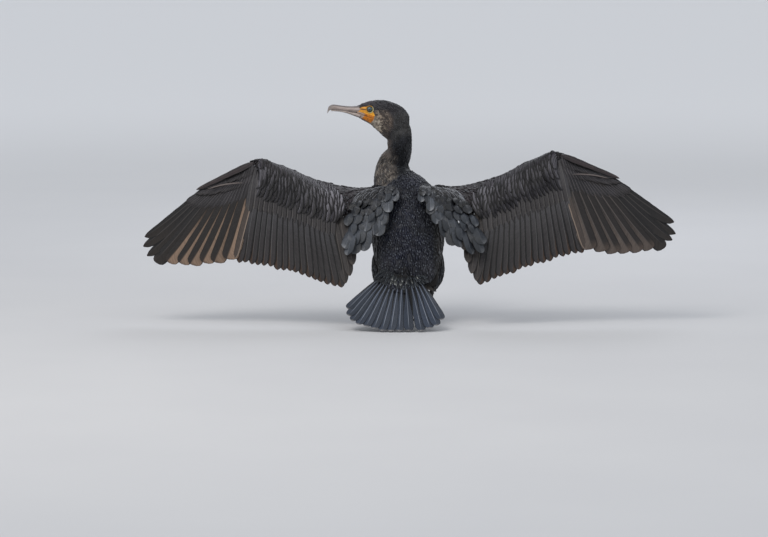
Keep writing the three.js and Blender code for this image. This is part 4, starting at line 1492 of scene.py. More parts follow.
class Coat:
    """Sets the small feathers over the skin, zone by zone."""

    STATIONS = np.array([0.0, 0.28, 0.6, 0.86, 1.0])
    MOST = 5400
    MOST_TRIES, TRIES_A_ROOT = 60000, 6
    SCATTER = 0.9
    ROOT_SUNK = 0.5
    CROWN_THICK, UNDER_THICK = 0.18, 0.12
    UV_HALF = 0.0015

    def __init__(self, skin: Piece, anatomy: Anatomy) -> None:
        """Reads the skin.

        Args:
            skin: The finished skin.
            anatomy: Says what each point carries.
        """
        self.anatomy = anatomy
        mesh = skin.data
        n = len(mesh.polygons)
        centres, normals, areas = np.zeros(n * 3), np.zeros(n * 3), np.zeros(n)
        mesh.polygons.foreach_get("center", centres)
        mesh.polygons.foreach_get("normal", normals)
        mesh.polygons.foreach_get("area", areas)
        self.centres = Layout.from_row(centres.reshape(-1, 3))
        self.normals = normals.reshape(-1, 3)
        self.areas = areas * 1e6
        self.zones = anatomy.zones(self.centres)

    def spread(self, zone: Zone, spacing: float, seed: int) -> tuple[Array, Array]:
        """Picks evenly spread roots in a zone.

        Args:
            zone: Which zone.
            spacing: Least distance between roots.
            seed: Picks the spread.

        Returns:
            Points and normals.
        """
        rng = np.random.default_rng(seed)
        here = np.nonzero(self.zones == zone)[0]
        if len(here) == 0:
            return np.zeros((0, 3)), np.zeros((0, 3))
        weight = self.areas[here] / self.areas[here].sum()
        tries = int(min(self.areas[here].sum() / spacing**2 * self.TRIES_A_ROOT, self.MOST_TRIES))
        picked = rng.choice(here, tries, p=weight)
        points = self.centres[picked] + rng.uniform(-self.SCATTER, self.SCATTER, (tries, 3))
        taken: dict[tuple[int, int, int], list[int]] = {}
        keep: list[int] = []
        cells = np.floor(points / spacing).astype(int)
        for i in range(tries):
            cx, cy, cz = cells[i]
            near = (taken.get((cx + a, cy + b, cz + c), ()) for a in (-1, 0, 1) for b in (-1, 0, 1)
                    for c in (-1, 0, 1))
            p = points[i]
            if any(np.abs(points[j] - p).sum() < spacing * 1.35 and ((points[j] - p) ** 2).sum() < spacing**2
                   for group in near for j in group):
                continue
            taken.setdefault((cx, cy, cz), []).append(i)
            keep.append(i)
        chosen = np.array(keep)
        return points[chosen], self.normals[picked[chosen]]

    def unwrap(self, points: Array, zone: Zone) -> Array:
        """Unrolls a zone's own shape.

        Args:
            points: Roots in the zone.
            zone: Which zone.

        Returns:
            UV pairs within the unit square.
        """
        x, y, z = points.T
        if zone is Zone.NECK:
            index, _ = self.anatomy.neck_place(points)
            off = points - self.anatomy.neck_points[index]
            u, v = np.arctan2(off[:, 1], off[:, 0]), index / Anatomy.NECK_SAMPLES
        elif zone is Zone.HEAD:
            middle = (Layout.CROWN(x) + Layout.CHIN(x)) / 2
            u = np.arctan2(z - middle, y - Layout.HEAD_MIDDLE)
            v = (x + 115) / 130
        elif zone in (Zone.ARM_LEFT, Zone.ARM_RIGHT):
            u, v = np.arctan2(z - 285, y - 45), (np.abs(x) - 70) / 375
        elif zone in (Zone.THIGH_LEFT, Zone.THIGH_RIGHT):
            u, v = np.arctan2(y - 22, np.abs(x) - 60), (z - 60) / 110
        else:
            local = points - Layout.TRUNK_TAIL
            u = np.arctan2(local @ Layout.BACK, x)
            v = (local @ Layout.SPINE + 110) / 380
        return np.stack([u / (2 * math.pi) + 0.5, v], axis=1).clip(0.004, 0.996)

    def build(self, zone: Zone, seed: int) -> Piece | None:
        """Builds one zone's feathers.

        Args:
            zone: Which zone.
            seed: Picks their spread and differences.

        Returns:
            One object, or None where the zone is empty.
        """
        rule = ZONE_RULES[zone]
        points, normals = self.spread(zone, rule.spacing, seed)
        if zone is Zone.HEAD:
            free = self.anatomy.bare(points) < 0.25
            points, normals = points[free], normals[free]
        if len(points) == 0:
            return None
        points, normals = points[: self.MOST], normals[: self.MOST]
        rng = np.random.default_rng(seed + 500)
        count = len(points)
        here = np.full(count, zone, dtype=object)
        way = self.anatomy.lie(points, here)
        into = -(way * normals).sum(axis=1)
        turned = ramp(0.25, 0.75, into)[:, None]
        way = way * (1 - turned) + self.anatomy.aside(points, here) * turned
        way += rng.normal(0, 0.07, (count, 3))
        way = unit(way - normals * (way * normals).sum(axis=1, keepdims=True))
        across = np.cross(way, normals)
        size = self.size(points, zone) * rng.uniform(0.85, 1.15, count)
        length, width = rule.length * size, rule.width * size**0.35 * rng.uniform(0.9, 1.1, count)
        lift = np.radians((rule.lift + rng.normal(0, 2.0, count)) / np.maximum(size, 1) ** 1.5)
        t = self.STATIONS
        wide = Table((0, 0.45), (0.28, 0.86), (0.6, 1), (0.86, 0.8 - 0.35 * rule.pointed),
                     (1, 0.28 - 0.22 * rule.pointed))(t)
        curl = 0.75 - 0.55 * t
        height = (t[None, :] * length[:, None]) * np.tan(lift)[:, None] * curl[None, :] - self.ROOT_SUNK
        middle = (points[:, None, :] + way[:, None, :] * (t[None, :] * length[:, None])[..., None]
                  + normals[:, None, :] * height[..., None])
        half = (wide[None, :] * width[:, None] / 2)[..., None]
        crown = 0.1 * width[:, None, None] * np.sin(np.pi * np.clip(t, 0.1, 0.9))[None, :, None]
        left, right = middle - across[:, None, :] * half, middle + across[:, None, :] * half
        top = middle + normals[:, None, :] * (crown + self.CROWN_THICK)
        under = middle - normals[:, None, :] * self.UNDER_THICK
        ring = np.stack([left, top, right, under], axis=2)
        flat = ring.reshape(-1, 3)
        quads, triangles = ring_faces(len(t), 4)
        step = len(t) * 4
        offsets = np.arange(count) * step
        quads = (quads[None] + offsets[:, None, None]).reshape(-1, 4)
        triangles = (triangles[None] + offsets[:, None, None]).reshape(-1, 3)
        roots = self.unwrap(points, zone)
        patch = np.stack([np.tile([-1.0, 0.0, 1.0, 0.3], len(t)), np.repeat(t * 2 - 1, 4)], axis=1)
        patch = patch * self.UV_HALF
        uv = (roots[:, None, :] + patch[None]).reshape(-1, 2).clip(0, 1)
        tint = self.anatomy.colours(points, here) * rng.normal(1, 0.12, (count, 1)).clip(0.6, 1.5)
        along = np.tile(np.repeat(t, 4), count)
        cross = np.tile(np.tile([-1.0, 0.0, 1.0, 0.0], len(t)), count)
        vane = np.stack([along, cross, np.repeat(rng.uniform(size=count), step)], axis=1)
        maker = MeshMaker(f"coat_{zone.value}")
        maker.add(flat, quads, triangles, uv, vane=vane, tint=with_alpha(np.repeat(tint, step, axis=0)))
        made = maker.build()
        LOG.info("%s: %d feathers", made.name, count)
        return made

    def size(self, points: Array, zone: Zone) -> Array:
        """Scales the feathers within a zone.

        Args:
            points: Their roots.
            zone: Their zone.

        Returns:
            One factor each.
        """
        x, _, z = points.T
        if zone is Zone.HEAD:
            return 0.72 + 0.5 * ramp(-92, -20, x)
        if zone is Zone.NECK:
            return 0.85 + 0.35 * ramp(360, 290, z)
        if zone in (Zone.TRUNK, Zone.RUMP):
            flank = ramp(56, 66, np.abs(x + 3)) * ramp(245, 215, z)
            return 1 + 0.4 * flank
        if zone in (Zone.THIGH_LEFT, Zone.THIGH_RIGHT):
            return 1.2 + 0.35 * ramp(120, 90, z)
        return np.ones(len(points))


class Graph:
    """Writes a material's nodes briefly."""

    def __init__(self, name: str) -> None:
        """Starts a material.

        Args:
            name: Its name.
        """
        self.material = bpy.data.materials.new(name)
        self.material.use_nodes = True
        self.nodes = self.material.node_tree.nodes
        self.links = self.material.node_tree.links
        self.shader = self.nodes["Principled BSDF"]

    def node(self, kind: str, inputs: dict | None = None, **settings: object) -> bpy.types.Node:
        """Adds a node.

        Args:
            kind: Its type.
            inputs: Socket values or sources, by name or number.
            **settings: Its properties.

        Returns:
            The node.
        """
        made = self.nodes.new(kind)
        for key, value in settings.items():
            setattr(made, key, value)
        for key, value in (inputs or {}).items():
            self.put(made.inputs[key], value)
        return made

    def put(self, socket: bpy.types.NodeSocket, value: object) -> None:
        """Links or sets one input.

        Args:
            socket: The input.
            value: A source socket or a plain value.
        """
        if isinstance(value, bpy.types.NodeSocket):
            self.links.new(value, socket)
        else:
            socket.default_value = value

    def math(self, operation: str, *values: object) -> bpy.types.NodeSocket:
        """Adds a maths node and gives its output."""
        return self.node("ShaderNodeMath", dict(enumerate(values)), operation=operation).outputs[0]

    def step(self, value: object, low: float, high: float) -> bpy.types.NodeSocket:
        """Adds a smooth step from 0 at low to 1 at high and gives its output."""
        made = self.node("ShaderNodeMapRange", {0: value, 1: low, 2: high}, interpolation_type="SMOOTHSTEP")
        return made.outputs[0]

    def mix(self, share: object, a: object, b: object, blend: str = "MIX") -> bpy.types.NodeSocket:
        """Adds a colour mix.

        Args:
            share: How much of b.
            a: The first colour.
            b: The second.
            blend: How they are mixed.

        Returns:
            Its colour output.
        """
        made = self.node("ShaderNodeMix", data_type="RGBA", blend_type=blend)
        self.put(made.inputs[0], share)
        self.put(made.inputs[6], a)
        self.put(made.inputs[7], b)
        return made.outputs[2]

    def attribute(self, name: str, output: str = "Color") -> bpy.types.NodeSocket:
        """Reads an attribute of the mesh."""
        return self.node("ShaderNodeAttribute", attribute_name=name).outputs[output]

    def noise(self, scale: float, detail: float = 3, vector: object = None) -> bpy.types.NodeSocket:
        """Adds noise over the object's own coordinates or others; the scale is in waves to the metre."""
        place = vector or self.node("ShaderNodeTexCoord").outputs["Object"]
        return self.node("ShaderNodeTexNoise", {"Vector": place, "Scale": scale, "Detail": detail}).outputs[0]

    def finish(self, colour: object, roughness: object, bump: object = None, depth: float = 0.0002,
               **sockets: float) -> bpy.types.Material:
        """Connects the shader.

        Args:
            colour: Base colour.
            roughness: Roughness.
            bump: Height, if any.
            depth: How deep the height is, in metres.
            **sockets: Plain values of other sockets, with underscores for spaces.

        Returns:
            The material.
        """
        self.put(self.shader.inputs["Base Color"], colour)
        self.put(self.shader.inputs["Roughness"], roughness)
        if bump is not None:
            node = self.node("ShaderNodeBump", {"Height": bump, "Distance": depth, "Strength": 1.0})
            self.put(self.shader.inputs["Normal"], node.outputs[0])
        for key, value in sockets.items():
            self.shader.inputs[key.replace("_", " ")].default_value = value
        return self.material


def rgba(colour: str) -> tuple[float, float, float, float]:
    """Gives a hex colour as a shader value with a full alpha."""
    return (*(float(c) for c in linear_rgb(colour)), 1.0)


@dataclass(frozen=True)
class FeatherVane:
    """Keratin webs of large feathers, matt with a sheen along the barbs.

    Real barbs lie about 0.3 mm apart. They are drawn 1.2 mm apart, so that they show.
    """

    name: str
    roughness: float
    specular: float
    barb_turn: float = 5.2
    worn: str = "#8a8a8a"
    relief: float = 0.00018

    def make(self) -> bpy.types.Material:
        """Lays webs, margin, shaft and tip by each feather's own coordinates.

        Returns:
            The material.
        """
        g = Graph(self.name)
        split = g.node("ShaderNodeSeparateXYZ", {0: g.attribute("vane", "Vector")})
        along, across, chance = split.outputs
        off = g.math("ABSOLUTE", across)
        web = g.mix(g.step(across, 0.1, -0.14), g.attribute("tint"), g.attribute("web"))
        barb = g.attribute("barb", "Fac")
        fibre = g.math("SINE", g.math("MULTIPLY", barb, self.barb_turn))
        place = {0: g.math("MULTIPLY", barb, 0.55), 1: g.math("MULTIPLY", off, 1.3),
                 2: g.math("MULTIPLY", chance, 60.0)}
        streak = g.noise(1.0, 3, g.node("ShaderNodeCombineXYZ", place).outputs[0])
        worn = g.mix(1.0, web, rgba(self.worn), "MULTIPLY")
        web = g.mix(g.math("MULTIPLY", g.step(streak, 0.35, 0.75), 0.42), web, worn)
        far = g.math("SUBTRACT", off, g.math("SUBTRACT", 1.0, g.attribute("edge", "Fac")))
        stray = g.math("MULTIPLY", g.math("SUBTRACT", streak, 0.5), 0.12)
        colour = g.mix(g.step(g.math("ADD", far, stray), -0.04, 0.08), web, g.attribute("rim"))
        tipped = g.step(g.math("ADD", along, g.math("MULTIPLY", streak, 0.03)), 0.985, 1.02)
        colour = g.mix(g.math("MULTIPLY", tipped, 0.7), colour, g.attribute("tipped"))
        shaft = g.math("MULTIPLY", g.step(off, 0.075, 0.03), g.step(along, 1.0, 0.8))
        colour = g.mix(shaft, colour, g.attribute("shaft"))
        height = g.math("ADD", g.math("MULTIPLY", fibre, 0.35), g.math("MULTIPLY", streak, 0.8))
        rough = g.math("MULTIPLY", g.math("SUBTRACT", streak, 0.5), 0.3)
        return g.finish(colour, g.math("ADD", self.roughness, rough), height, self.relief,
                        Specular_IOR_Level=self.specular)


@dataclass(frozen=True)
class BodyFeather:
    """Small body feathers, half wet: a dark margin, a pale fleck painted on as a highlight and a gloss that
    differs between them.
    """

    margin: str = "#8f8f94"
    fleck: str = "#c2cad4"
    roughness: float = 0.42
    glint: float = 0.36
    grain: float = 900
    relief: float = 0.00012

    def make(self) -> bpy.types.Material:
        """Lays margin and fleck over each feather's own tint; the fleck is a painted highlight.

        Returns:
            The material.
        """
        g = Graph("body_feather")
        split = g.node("ShaderNodeSeparateXYZ", {0: g.attribute("vane", "Vector")})
        along, across, chance = split.outputs
        off = g.math("ABSOLUTE", across)
        tint = g.attribute("tint")
        edge = g.step(g.math("MAXIMUM", off, along), 0.62, 0.98)
        colour = g.mix(g.math("MULTIPLY", edge, 0.75), tint, g.mix(1.0, tint, rgba(self.margin), "MULTIPLY"))
        # Painted highlight: a pale fleck near the tip of some feathers, for the glints on wet plumage.
        tip = g.math("MULTIPLY", g.step(along, 0.45, 0.6), g.step(along, 0.9, 0.8))
        highlight_spot = g.math("MULTIPLY", g.math("MULTIPLY", tip, g.step(off, 0.7, 0.35)), g.step(chance, 0.5, 0.75))
        colour = g.mix(g.math("MULTIPLY", highlight_spot, 0.8), colour, g.mix(0.13, colour, rgba(self.fleck)))
        wet = g.math("MULTIPLY", g.step(chance, 0.93, 0.97), self.glint)
        rough = g.math("SUBTRACT", g.math("ADD", self.roughness, g.math("MULTIPLY", chance, 0.2)), wet)
        return g.finish(colour, rough, g.noise(self.grain, 2), self.relief, Specular_IOR_Level=0.3)


@dataclass(frozen=True)
class BirdSkin:
    """Skin: dark under the coat, smooth, warm and finely pebbled where the face is bare."""

    pebbles: float = 1100.0
    warm: str = "#ffd9a0"
    roughness: float = 0.6
    relief: float = 0.0002

    def make(self) -> bpy.types.Material:
        """Reads the skin's own paint and its bare mask.

        Returns:
            The material.
        """
        g = Graph("bird_skin")
        bare, tint = g.attribute("bare", "Fac"), g.attribute("tint")
        place = g.node("ShaderNodeTexCoord").outputs["Object"]
        cells = g.node("ShaderNodeTexVoronoi", {"Vector": place, "Scale": self.pebbles})
        grain = cells.outputs["Distance"]
        share = g.math("MULTIPLY", g.step(grain, 0.1, 0.5), g.math("MULTIPLY", bare, 0.25))
        colour = g.mix(share, tint, g.mix(1.0, tint, rgba(self.warm), "MULTIPLY"))
        rough = g.math("SUBTRACT", self.roughness, g.math("MULTIPLY", bare, 0.18))
        height = g.math("ADD", g.noise(500), grain)
        return g.finish(colour, rough, height, self.relief, Specular_IOR_Level=0.45)


@dataclass(frozen=True)
class BillHorn:
    """Horn of the bill, grown in layers: half gloss, with a fine grain along its length."""

    grain: tuple[float, float, float] = (60.0, 700.0, 700.0)
    worn: str = "#8d8480"
    roughness: float = 0.3
    relief: float = 0.00025

    def make(self) -> bpy.types.Material:
        """Reads the horn's own paint.

        Returns:
            The material.
        """
        g = Graph("bill_horn")
        tint = g.attribute("tint")
        place = g.node("ShaderNodeTexCoord").outputs["Object"]
        drawn = g.node("ShaderNodeMapping", {"Vector": place, "Scale": self.grain}).outputs[0]
        grain = g.noise(1.0, 4, drawn)
        share = g.math("MULTIPLY", g.step(grain, 0.4, 0.7), 0.35)
        colour = g.mix(share, tint, g.mix(1.0, tint, rgba(self.worn), "MULTIPLY"))
        rough = g.math("ADD", self.roughness, g.math("MULTIPLY", grain, 0.25))
        return g.finish(colour, rough, grain, self.relief, Specular_IOR_Level=0.5)


@dataclass(frozen=True)
class Eyeball:
    """The eye: a dark pupil, a green iris with fine rays and a dark outer ring, all under a wet coat."""

    pupil: str = "#030405"
    iris: tuple[str, str] = ("#0c3038", "#1f6670")
    outer: str = "#081216"
    rays: float = 2400
    roughness: float = 0.06

    def make(self) -> bpy.types.Material:
        """Lays the rings by the distance from the eye's axis.

        Returns:
            The material.
        """
        g = Graph("eye")
        radius = g.attribute("radius", "Fac")
        iris = g.mix(g.noise(self.rays, 2), *(rgba(c) for c in self.iris))
        rim = g.mix(g.step(radius, 0.74, 0.96), iris, rgba(self.outer))
        colour = g.mix(g.step(radius, 0.58, 0.52), rim, rgba(self.pupil))
        return g.finish(colour, self.roughness, Specular_IOR_Level=0.6, Coat_Weight=1.0, Coat_Roughness=0.02)


@dataclass(frozen=True)
class LegSkin:
    """Black scaled skin of legs and webs: small plates, glossier than the seams between them."""

    plates: float = 420.0
    seam: str = "#0b0a0b"
    tones: tuple[str, str] = ("#141315", "#2a2725")
    roughness: float = 0.62
    relief: float = 0.0003

    def make(self) -> bpy.types.Material:
        """Lays the plates in the object's own coordinates.

        Returns:
            The material.
        """
        g = Graph("leg_skin")
        place = g.node("ShaderNodeTexCoord").outputs["Object"]
        cells = g.node("ShaderNodeTexVoronoi", {"Vector": place, "Scale": self.plates},
                       feature="DISTANCE_TO_EDGE")
        plate = g.step(cells.outputs[0], 0.0, 0.16)
        tone = g.mix(g.noise(60, 4), *(rgba(c) for c in self.tones))
        rough = g.math("SUBTRACT", self.roughness, g.math("MULTIPLY", plate, 0.2))
        colour = g.mix(plate, rgba(self.seam), tone)
        return g.finish(colour, rough, plate, self.relief, Specular_IOR_Level=0.45)


@dataclass(frozen=True)
class ClawHorn:
    """Dark horn of the claws, worn smooth."""

    tones: tuple[str, str] = ("#15130f", "#3a342d")
    roughness: float = 0.32
    grain: float = 500
    relief: float = 0.0001

    def make(self) -> bpy.types.Material:
        """Mixes two tones by a fine grain.

        Returns:
            The material.
        """
        g = Graph("claw_horn")
        grain = g.noise(self.grain, 3)
        return g.finish(g.mix(grain, *(rgba(c) for c in self.tones)), self.roughness, grain, self.relief)


@dataclass(frozen=True)
class StudioFloor:
    """The studio's matt floor, with painted light: paler far off, where the lamps' light falls away."""

    near: tuple[str, str] = ("#b6b6b8", "#bdbdbe")
    far: str = "#e4e4e6"
    fade: tuple[float, float] = (0.6, 7.0)

    def make(self) -> bpy.types.Material:
        """Grades the floor by the distance from its middle, as painted light.

        Returns:
            The material.
        """
        g = Graph("studio_floor")
        place = g.node("ShaderNodeTexCoord").outputs["Object"]
        away = g.node("ShaderNodeVectorMath", {0: place}, operation="LENGTH").outputs["Value"]
        near = g.mix(g.noise(2.2, 2), *(rgba(c) for c in self.near))
        return g.finish(g.mix(g.step(away, *self.fade), near, rgba(self.far)), 0.8, Specular_IOR_Level=0.2)


class Materials:
    """Makes every material once."""

    def __init__(self) -> None:
        """Makes them in the order in which the pieces take them."""
        self.vanes = FeatherVane("flight_feather", 0.46, 0.28).make()
        self.glossy_vanes = FeatherVane("scapular_feather", 0.36, 0.364).make()
        self.coat = BodyFeather().make()
        self.skin = BirdSkin().make()
        self.horn = BillHorn().make()
        self.eye = Eyeball().make()
        self.legs = LegSkin().make()
        self.claws = ClawHorn().make()
        self.floor = StudioFloor().make()


@dataclass
class Head:
    """Builds the bill and the eyes."""

    sides: int = 36
    steps: int = 64
    bill_root: float = -103.0
    eye_sunk: float = 5.0
    iris_radius: float = 4.7

    def mandible(self, name: str, top: Callable, bottom: Callable, start: float, squeeze: float,
                 hook: bool) -> Piece:
        """Builds one half of the bill.

        Args:
            name: Its name.
            top: Upper outline.
            bottom: Lower outline.
            start: Where its tip is.
            squeeze: Share of the bill's width.
            hook: Whether the tip bends down into a hook.

        Returns:
            The object.
        """
        maker = MeshMaker(name)
        sides, steps = self.sides, self.steps
        share = (1 - np.cos(np.linspace(0, math.pi, steps))) / 2
        along = start + (self.bill_root - start) * share
        angle = np.linspace(0, 2 * math.pi, sides, endpoint=False)
        rows, heights = [], []
        for x in along:
            high, low = float(top(x)), float(bottom(x))
            high = max(high, low + 0.5)
            half = float(Layout.BILL_WIDTH(x)) * squeeze
            fat = np.sign(np.cos(angle)) * np.abs(np.cos(angle)) ** 0.8
            groove = np.exp(-(((np.sin(angle) - 0.35) / 0.16) ** 2)) * float(ramp(-166, -150, x))
            y = Layout.HEAD_MIDDLE + half * fat * (1 - 0.13 * groove if hook else 1)
            z = (high + low) / 2 + (high - low) / 2 * np.sin(angle)
            bend = 3.2 * float(ramp(-167, -174, x)) if hook else 0.0
            z = z - bend * (np.sin(angle) < 0) * -np.sin(angle)
            rows.append(np.stack([np.full(sides, x), y, z], axis=1))
            heights.append(np.sin(angle))
        points = np.concatenate(rows)
        high = np.concatenate(heights)
        quads, triangles = ring_faces(steps, sides)
        paint = Paint(np.tile(linear_rgb("#a0938d"), (len(points), 1)))
        lay = paint.lay
        grain = Noise(21, 5.0)(points * vec(0.35, 1, 1))
        x = points[:, 0]
        if hook:
            lay("#4d474a", ramp(0.35, 0.8, high + 0.15 * grain))
            lay("#77706d", ramp(-158, -168, x) * 0.75)
            lay("#b7a79f", ramp(0.1, -0.3, high) * ramp(-1.1, -0.6, high) * 0.5)
        else:
            lay("#504a48", ramp(-0.35, -0.85, high + 0.15 * grain))
            lay("#c0b2a9", ramp(-0.3, 0.3, high) * 0.5)
        lay("#3b3534", ramp(-0.82, -1.0, high) * (0.8 if hook else 0.3))
        lay("#7b6f69", (grain > 0.35) * 0.35)
        uv = np.stack([np.repeat(share, sides), np.tile(np.arange(sides) / sides, steps)], axis=1)
        maker.add(points, quads, triangles, uv, tint=with_alpha(paint.rows))
        return maker.build()

    def bill(self) -> list[Piece]:
        """Builds both halves.

        Returns:
            Upper and lower.
        """
        mouth = Layout.MOUTH
        upper = self.mandible("bill_upper_horn", Layout.CULMEN, lambda x: mouth(x) + 0.1, -173.9, 1.0, True)
        lower = self.mandible("bill_lower_horn", lambda x: mouth(x) - 0.15, Layout.LOWER, -165.8, 0.9, False)
        return [upper, lower]

    def eyes(self) -> list[Piece]:
        """Builds both eyes.

        Returns:
            Left and right.
        """
        made = []
        for side in Side:
            out = Layout.CHEEK(Layout.EYE[0]) - self.eye_sunk
            middle = vec(Layout.EYE[0], Layout.HEAD_MIDDLE + side * out, Layout.EYE[2])
            work = bmesh.new()
            bmesh.ops.create_uvsphere(work, u_segments=40, v_segments=24, radius=Layout.EYE_RADIUS / 1000)
            for vert in work.verts:
                vert.co = Vector((vert.co.x, vert.co.z * side, vert.co.y)) + Vector(Layout.to_row(middle))
            work.normal_update()
            bmesh.ops.recalc_face_normals(work, faces=work.faces)
            eye = piece_of(work, f"eyeball_{side.word}")
            points = Layout.from_row([v.co for v in eye.data.vertices]) - middle
            away = np.hypot(points[:, 0], points[:, 2]) / self.iris_radius
            away = np.where(points[:, 1] * side > 0, away, 2.0)
            radius = eye.data.attributes.new("radius", "FLOAT", "POINT")
            radius.data.foreach_set("value", away.astype(np.float32))
            made.append(eye)
        return made


@dataclass(frozen=True)
class Toe:
    """One toe of the right foot: its length, its turn from straight ahead in degrees and its thickness."""

    length: float
    turn: float
    thickness: float
    joints: int = 3

    def point(self, share: float, z: float) -> Array:
        """Reads the point at a share of the toe's length and at height z."""
        turn, reach = math.radians(self.turn), self.length * share
        return vec(Layout.FOOT[0] + reach * math.sin(turn), Layout.FOOT[1] + reach * math.cos(turn), z)

    def half(self, t: float) -> tuple[float, float]:
        """Gives half width and half height, swollen at each joint."""
        size = self.thickness * (1 - 0.42 * t) * (1 + 0.14 * math.cos(2 * math.pi * self.joints * t))
        return size * 0.95, size * 0.9


@dataclass
class Legs:
    """Builds one side's shank, webbed foot and claws; the toes run from the outer one to the hind one."""

    side: Side
    toes: tuple[Toe, ...] = (Toe(94, 21, 4.8), Toe(82, 1, 5.0), Toe(58, -20, 4.8), Toe(31, -84, 4.2, 2))
    foot_voxel: float = 0.0009
    shank_voxel: float = 0.001
    web_steps: int = 9

    def grounded(self, shape: Forms, name: str, voxel: float) -> Piece:
        """Fuses forms and flattens what would pass below the floor.

        Args:
            shape: The forms.
            name: The piece's name, without its side.
            voxel: Size of the remesh, in metres.

        Returns:
            The object.
        """
        made = shape.fused(f"{name}_{self.side.word}", voxel, 0.5, 3)
        points = np.array([v.co for v in made.data.vertices])
        points[:, 2] = np.maximum(points[:, 2], 0.0)
        made.data.vertices.foreach_set("co", points.astype(np.float32).ravel())
        made.data.update()
        made.data.shade_smooth()
        return made

    def foot(self) -> Piece:
        """Builds the foot with its toes, web and heel pad.

        Returns:
            The object.
        """
        mirror = self.side.mirror
        shape = Forms()
        for toe in self.toes:
            line = Spline([toe.point(s, 4.2 - 1.4 * s) * mirror for s in (0, 0.3, 0.62, 0.95)])
            shape.tube(line, toe.half, vec(1, -1, 0), 26)
        for a, b in zip(self.toes, self.toes[1:]):
            self.web(shape, a, b)
        heel = Spline([p * mirror for p in (vec(Layout.FOOT[0], Layout.FOOT[1] - 7, 5), Layout.FOOT,
                                            vec(Layout.FOOT[0], Layout.FOOT[1] + 12, 5))])
        shape.tube(heel, lambda t: (7.5 - 3 * abs(t - 0.4), 6.5 - 3 * abs(t - 0.4)), Layout.RIGHT, 8)
        return self.grounded(shape, "foot_skin", self.foot_voxel)

    def web(self, shape: Forms, a: Toe, b: Toe) -> None:
        """Adds the web between two toes as a fan of flat slats.

        Args:
            shape: Takes the form.
            a: One toe.
            b: The next.
        """
        rings = []
        root = Layout.FOOT * vec(1, 1, 0)
        for i in range(self.web_steps + 1):
            w = i / self.web_steps
            reach = 0.93 - 0.17 * math.sin(math.pi * w)
            tip = a.point(reach, 0) * (1 - w) + b.point(reach, 0) * w
            low, high = vec(0, 0, 0.25), vec(0, 0, 2.4 + 0.5 * math.cos(6 * math.pi * w))
            rings.append(np.array([root + low, tip + low, tip + high * 0.8, root + high]) * self.side.mirror)
        shape.loft(rings)

    def shank(self) -> Piece:
        """Builds the shank with its heel and ankle.

        Returns:
            The object.
        """
        swell = Table((0, 6.6), (0.14, 7), (0.3, 5), (0.6, 4.7), (0.85, 5.6), (1, 6.4))
        line = Spline([p * self.side.mirror for p in (Layout.HEEL + vec(0, 3, 12), Layout.HEEL,
                                                      (Layout.HEEL + Layout.FOOT) / 2, Layout.FOOT)])
        shape = Forms()
        shape.tube(line, lambda t: (swell(t) * 0.72, swell(t) * 1.05), Layout.RIGHT, 30)
        return self.grounded(shape, "shank_skin", self.shank_voxel)

    def claws(self) -> Piece:
        """Builds the claws.

        Returns:
            The object.
        """
        shape = Forms()
        for toe in self.toes:
            line = Spline([toe.point(share, z) * self.side.mirror
                           for share, z in ((0.9, 3.2), (0.98, 5), (1.05, 3.6), (1.08, 0.7))])
            shape.tube(line, lambda t: (2.1 - 1.7 * t, 2.4 - 1.9 * t), vec(1, -1, 0), 12)
        return shape.shells(f"claws_{self.side.word}")


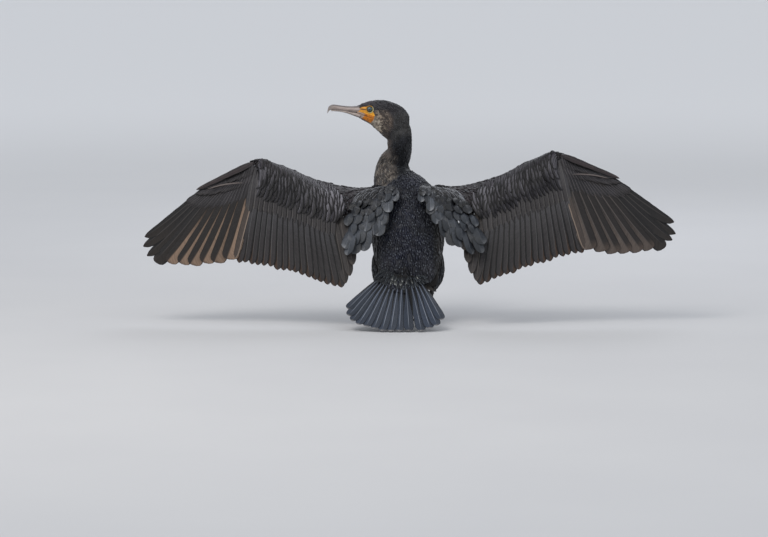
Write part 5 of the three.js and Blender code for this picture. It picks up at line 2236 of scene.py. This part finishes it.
@dataclass
class Studio:
    """Sets the floor, the lights and the camera."""

    pixel: float = 2.15
    width: int = 768
    centre_x: float = -51.6
    centre_v: float = 116.6
    aim_depth: float = 50.0
    elevation: float = math.radians(6)
    distance: float = 10.0
    sensor: float = 36.0
    around: float = 0.92
    floor_half: float = 40.0
    floor_drop: float = 0.0004

    def floor(self, material: bpy.types.Material) -> Piece:
        """Lays the floor.

        Args:
            material: Its finish.

        Returns:
            The floor.
        """
        work = bmesh.new()
        bmesh.ops.create_grid(work, x_segments=8, y_segments=8, size=self.floor_half)
        for vert in work.verts:
            vert.co.z = -self.floor_drop
        floor = piece_of(work, "studio_floor")
        floor.data.materials.append(material)
        return floor

    def lamp(self, name: str, place: Array, target: Array, size: float, power: float, colour: str) -> None:
        """Hangs one soft lamp.

        Args:
            name: Its name.
            place: Where it hangs, in metres.
            target: What it faces.
            size: Width of its face, in metres.
            power: Watts.
            colour: Its colour.
        """
        light = bpy.data.lights.new(name, "AREA")
        light.size = size
        light.energy = power
        light.color = tuple(float(c) for c in linear_rgb(colour))
        lamp = bpy.data.objects.new(name, light)
        lamp.location = Vector(place)
        lamp.rotation_mode = "QUATERNION"
        lamp.rotation_quaternion = Vector(target - place).to_track_quat("-Z", "Y")
        bpy.context.scene.collection.objects.link(lamp)

    def lights(self) -> None:
        """Hangs the lamps and sets the soft surrounding light."""
        middle = vec(0, 0, 0.28)
        self.lamp("key", vec(-1.1, -1.5, 2.6), middle, 1.3, 36, "#fffaf4")
        self.lamp("fill", vec(2.4, -1.8, 1.5), middle, 2.2, 6, "#eef3ff")
        self.lamp("back", vec(0.5, 2.0, 2.2), middle, 1.6, 22, "#f4f7ff")
        world = bpy.data.worlds.new("studio_world")
        world.use_nodes = True
        background = world.node_tree.nodes["Background"]
        background.inputs["Color"].default_value = rgba("#e9edf2")
        background.inputs["Strength"].default_value = self.around
        bpy.context.scene.world = world
        bpy.context.scene.view_settings.view_transform = "Standard"

    def camera(self) -> None:
        """Sets the camera at the photograph's angle, far off behind a long lens."""
        sin, cos = math.sin(self.elevation), math.cos(self.elevation)
        height = (self.centre_v - sin * self.aim_depth) / cos
        target = Layout.to_row(vec(self.centre_x, self.aim_depth, height))
        way = vec(0, cos, -sin)
        data = bpy.data.cameras.new("camera")
        data.sensor_width = self.sensor
        data.lens = self.sensor * self.distance / (self.width * self.pixel / 1000)
        data.clip_start, data.clip_end = 0.1, 200
        camera = bpy.data.objects.new("camera", data)
        camera.location = Vector(target - way * self.distance)
        camera.rotation_mode = "QUATERNION"
        camera.rotation_quaternion = Vector(way).to_track_quat("-Z", "Y")
        bpy.context.scene.collection.objects.link(camera)
        bpy.context.scene.camera = camera


class Cormorant:
    """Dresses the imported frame."""

    def __init__(self) -> None:
        """Makes what every piece shares."""
        self.anatomy = Anatomy()
        self.materials = Materials()

    def settle(self, pieces: Iterable[Piece], material: bpy.types.Material,
               nodes: Sequence[str] = ()) -> None:
        """Gives pieces their finish and puts them on the body.

        Args:
            pieces: The pieces.
            material: Their material.
            nodes: Nodes that the first of them stands for.
        """
        for index, piece in enumerate(pieces):
            piece.data.materials.clear()
            piece.data.materials.append(material)
            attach(piece, BODY)
            if index == 0 and nodes:
                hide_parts(*nodes)

    def build(self) -> None:
        """Builds every piece."""
        m = self.materials
        skin = BodySkin(self.anatomy).build()
        self.settle([skin], m.skin, ["torso", "neck", "head", "thigh_left", "thigh_right"])
        coat = Coat(skin, self.anatomy)
        pieces = [coat.build(zone, 100 + i) for i, zone in enumerate(Zone)]
        self.settle([p for p in pieces if p is not None], m.coat)
        for side in Side:
            wing = WingFeathers(side)
            self.settle([wing.remiges(), wing.coverts()], m.vanes, [f"wing_{side.word}"])
            self.settle([wing.scapulars(), wing.mantle()], m.glossy_vanes)
            legs = Legs(side)
            self.settle([legs.shank()], m.legs, [f"shank_{side.word}"])
            self.settle([legs.foot()], m.legs, [f"foot_{side.word}"])
            self.settle([legs.claws()], m.claws)
        self.settle(TailFeathers().build(), m.vanes, ["tail"])
        head = Head()
        upper, lower = head.bill()
        self.settle([upper], m.horn, ["bill_upper"])
        self.settle([lower], m.horn, ["bill_lower"])
        left, right = head.eyes()
        self.settle([left], m.eye, ["eye_left"])
        self.settle([right], m.eye, ["eye_right"])


def main() -> None:
    """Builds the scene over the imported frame."""
    logging.basicConfig(level=logging.INFO, format="%(name)s: %(message)s")
    for obj in list(bpy.data.objects):
        bpy.data.objects.remove(obj)
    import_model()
    studio = Studio()
    bird = Cormorant()
    studio.floor(bird.materials.floor)
    studio.lights()
    studio.camera()
    bird.build()
    bpy.context.view_layer.update()


if __name__ == "__main__":
    main()
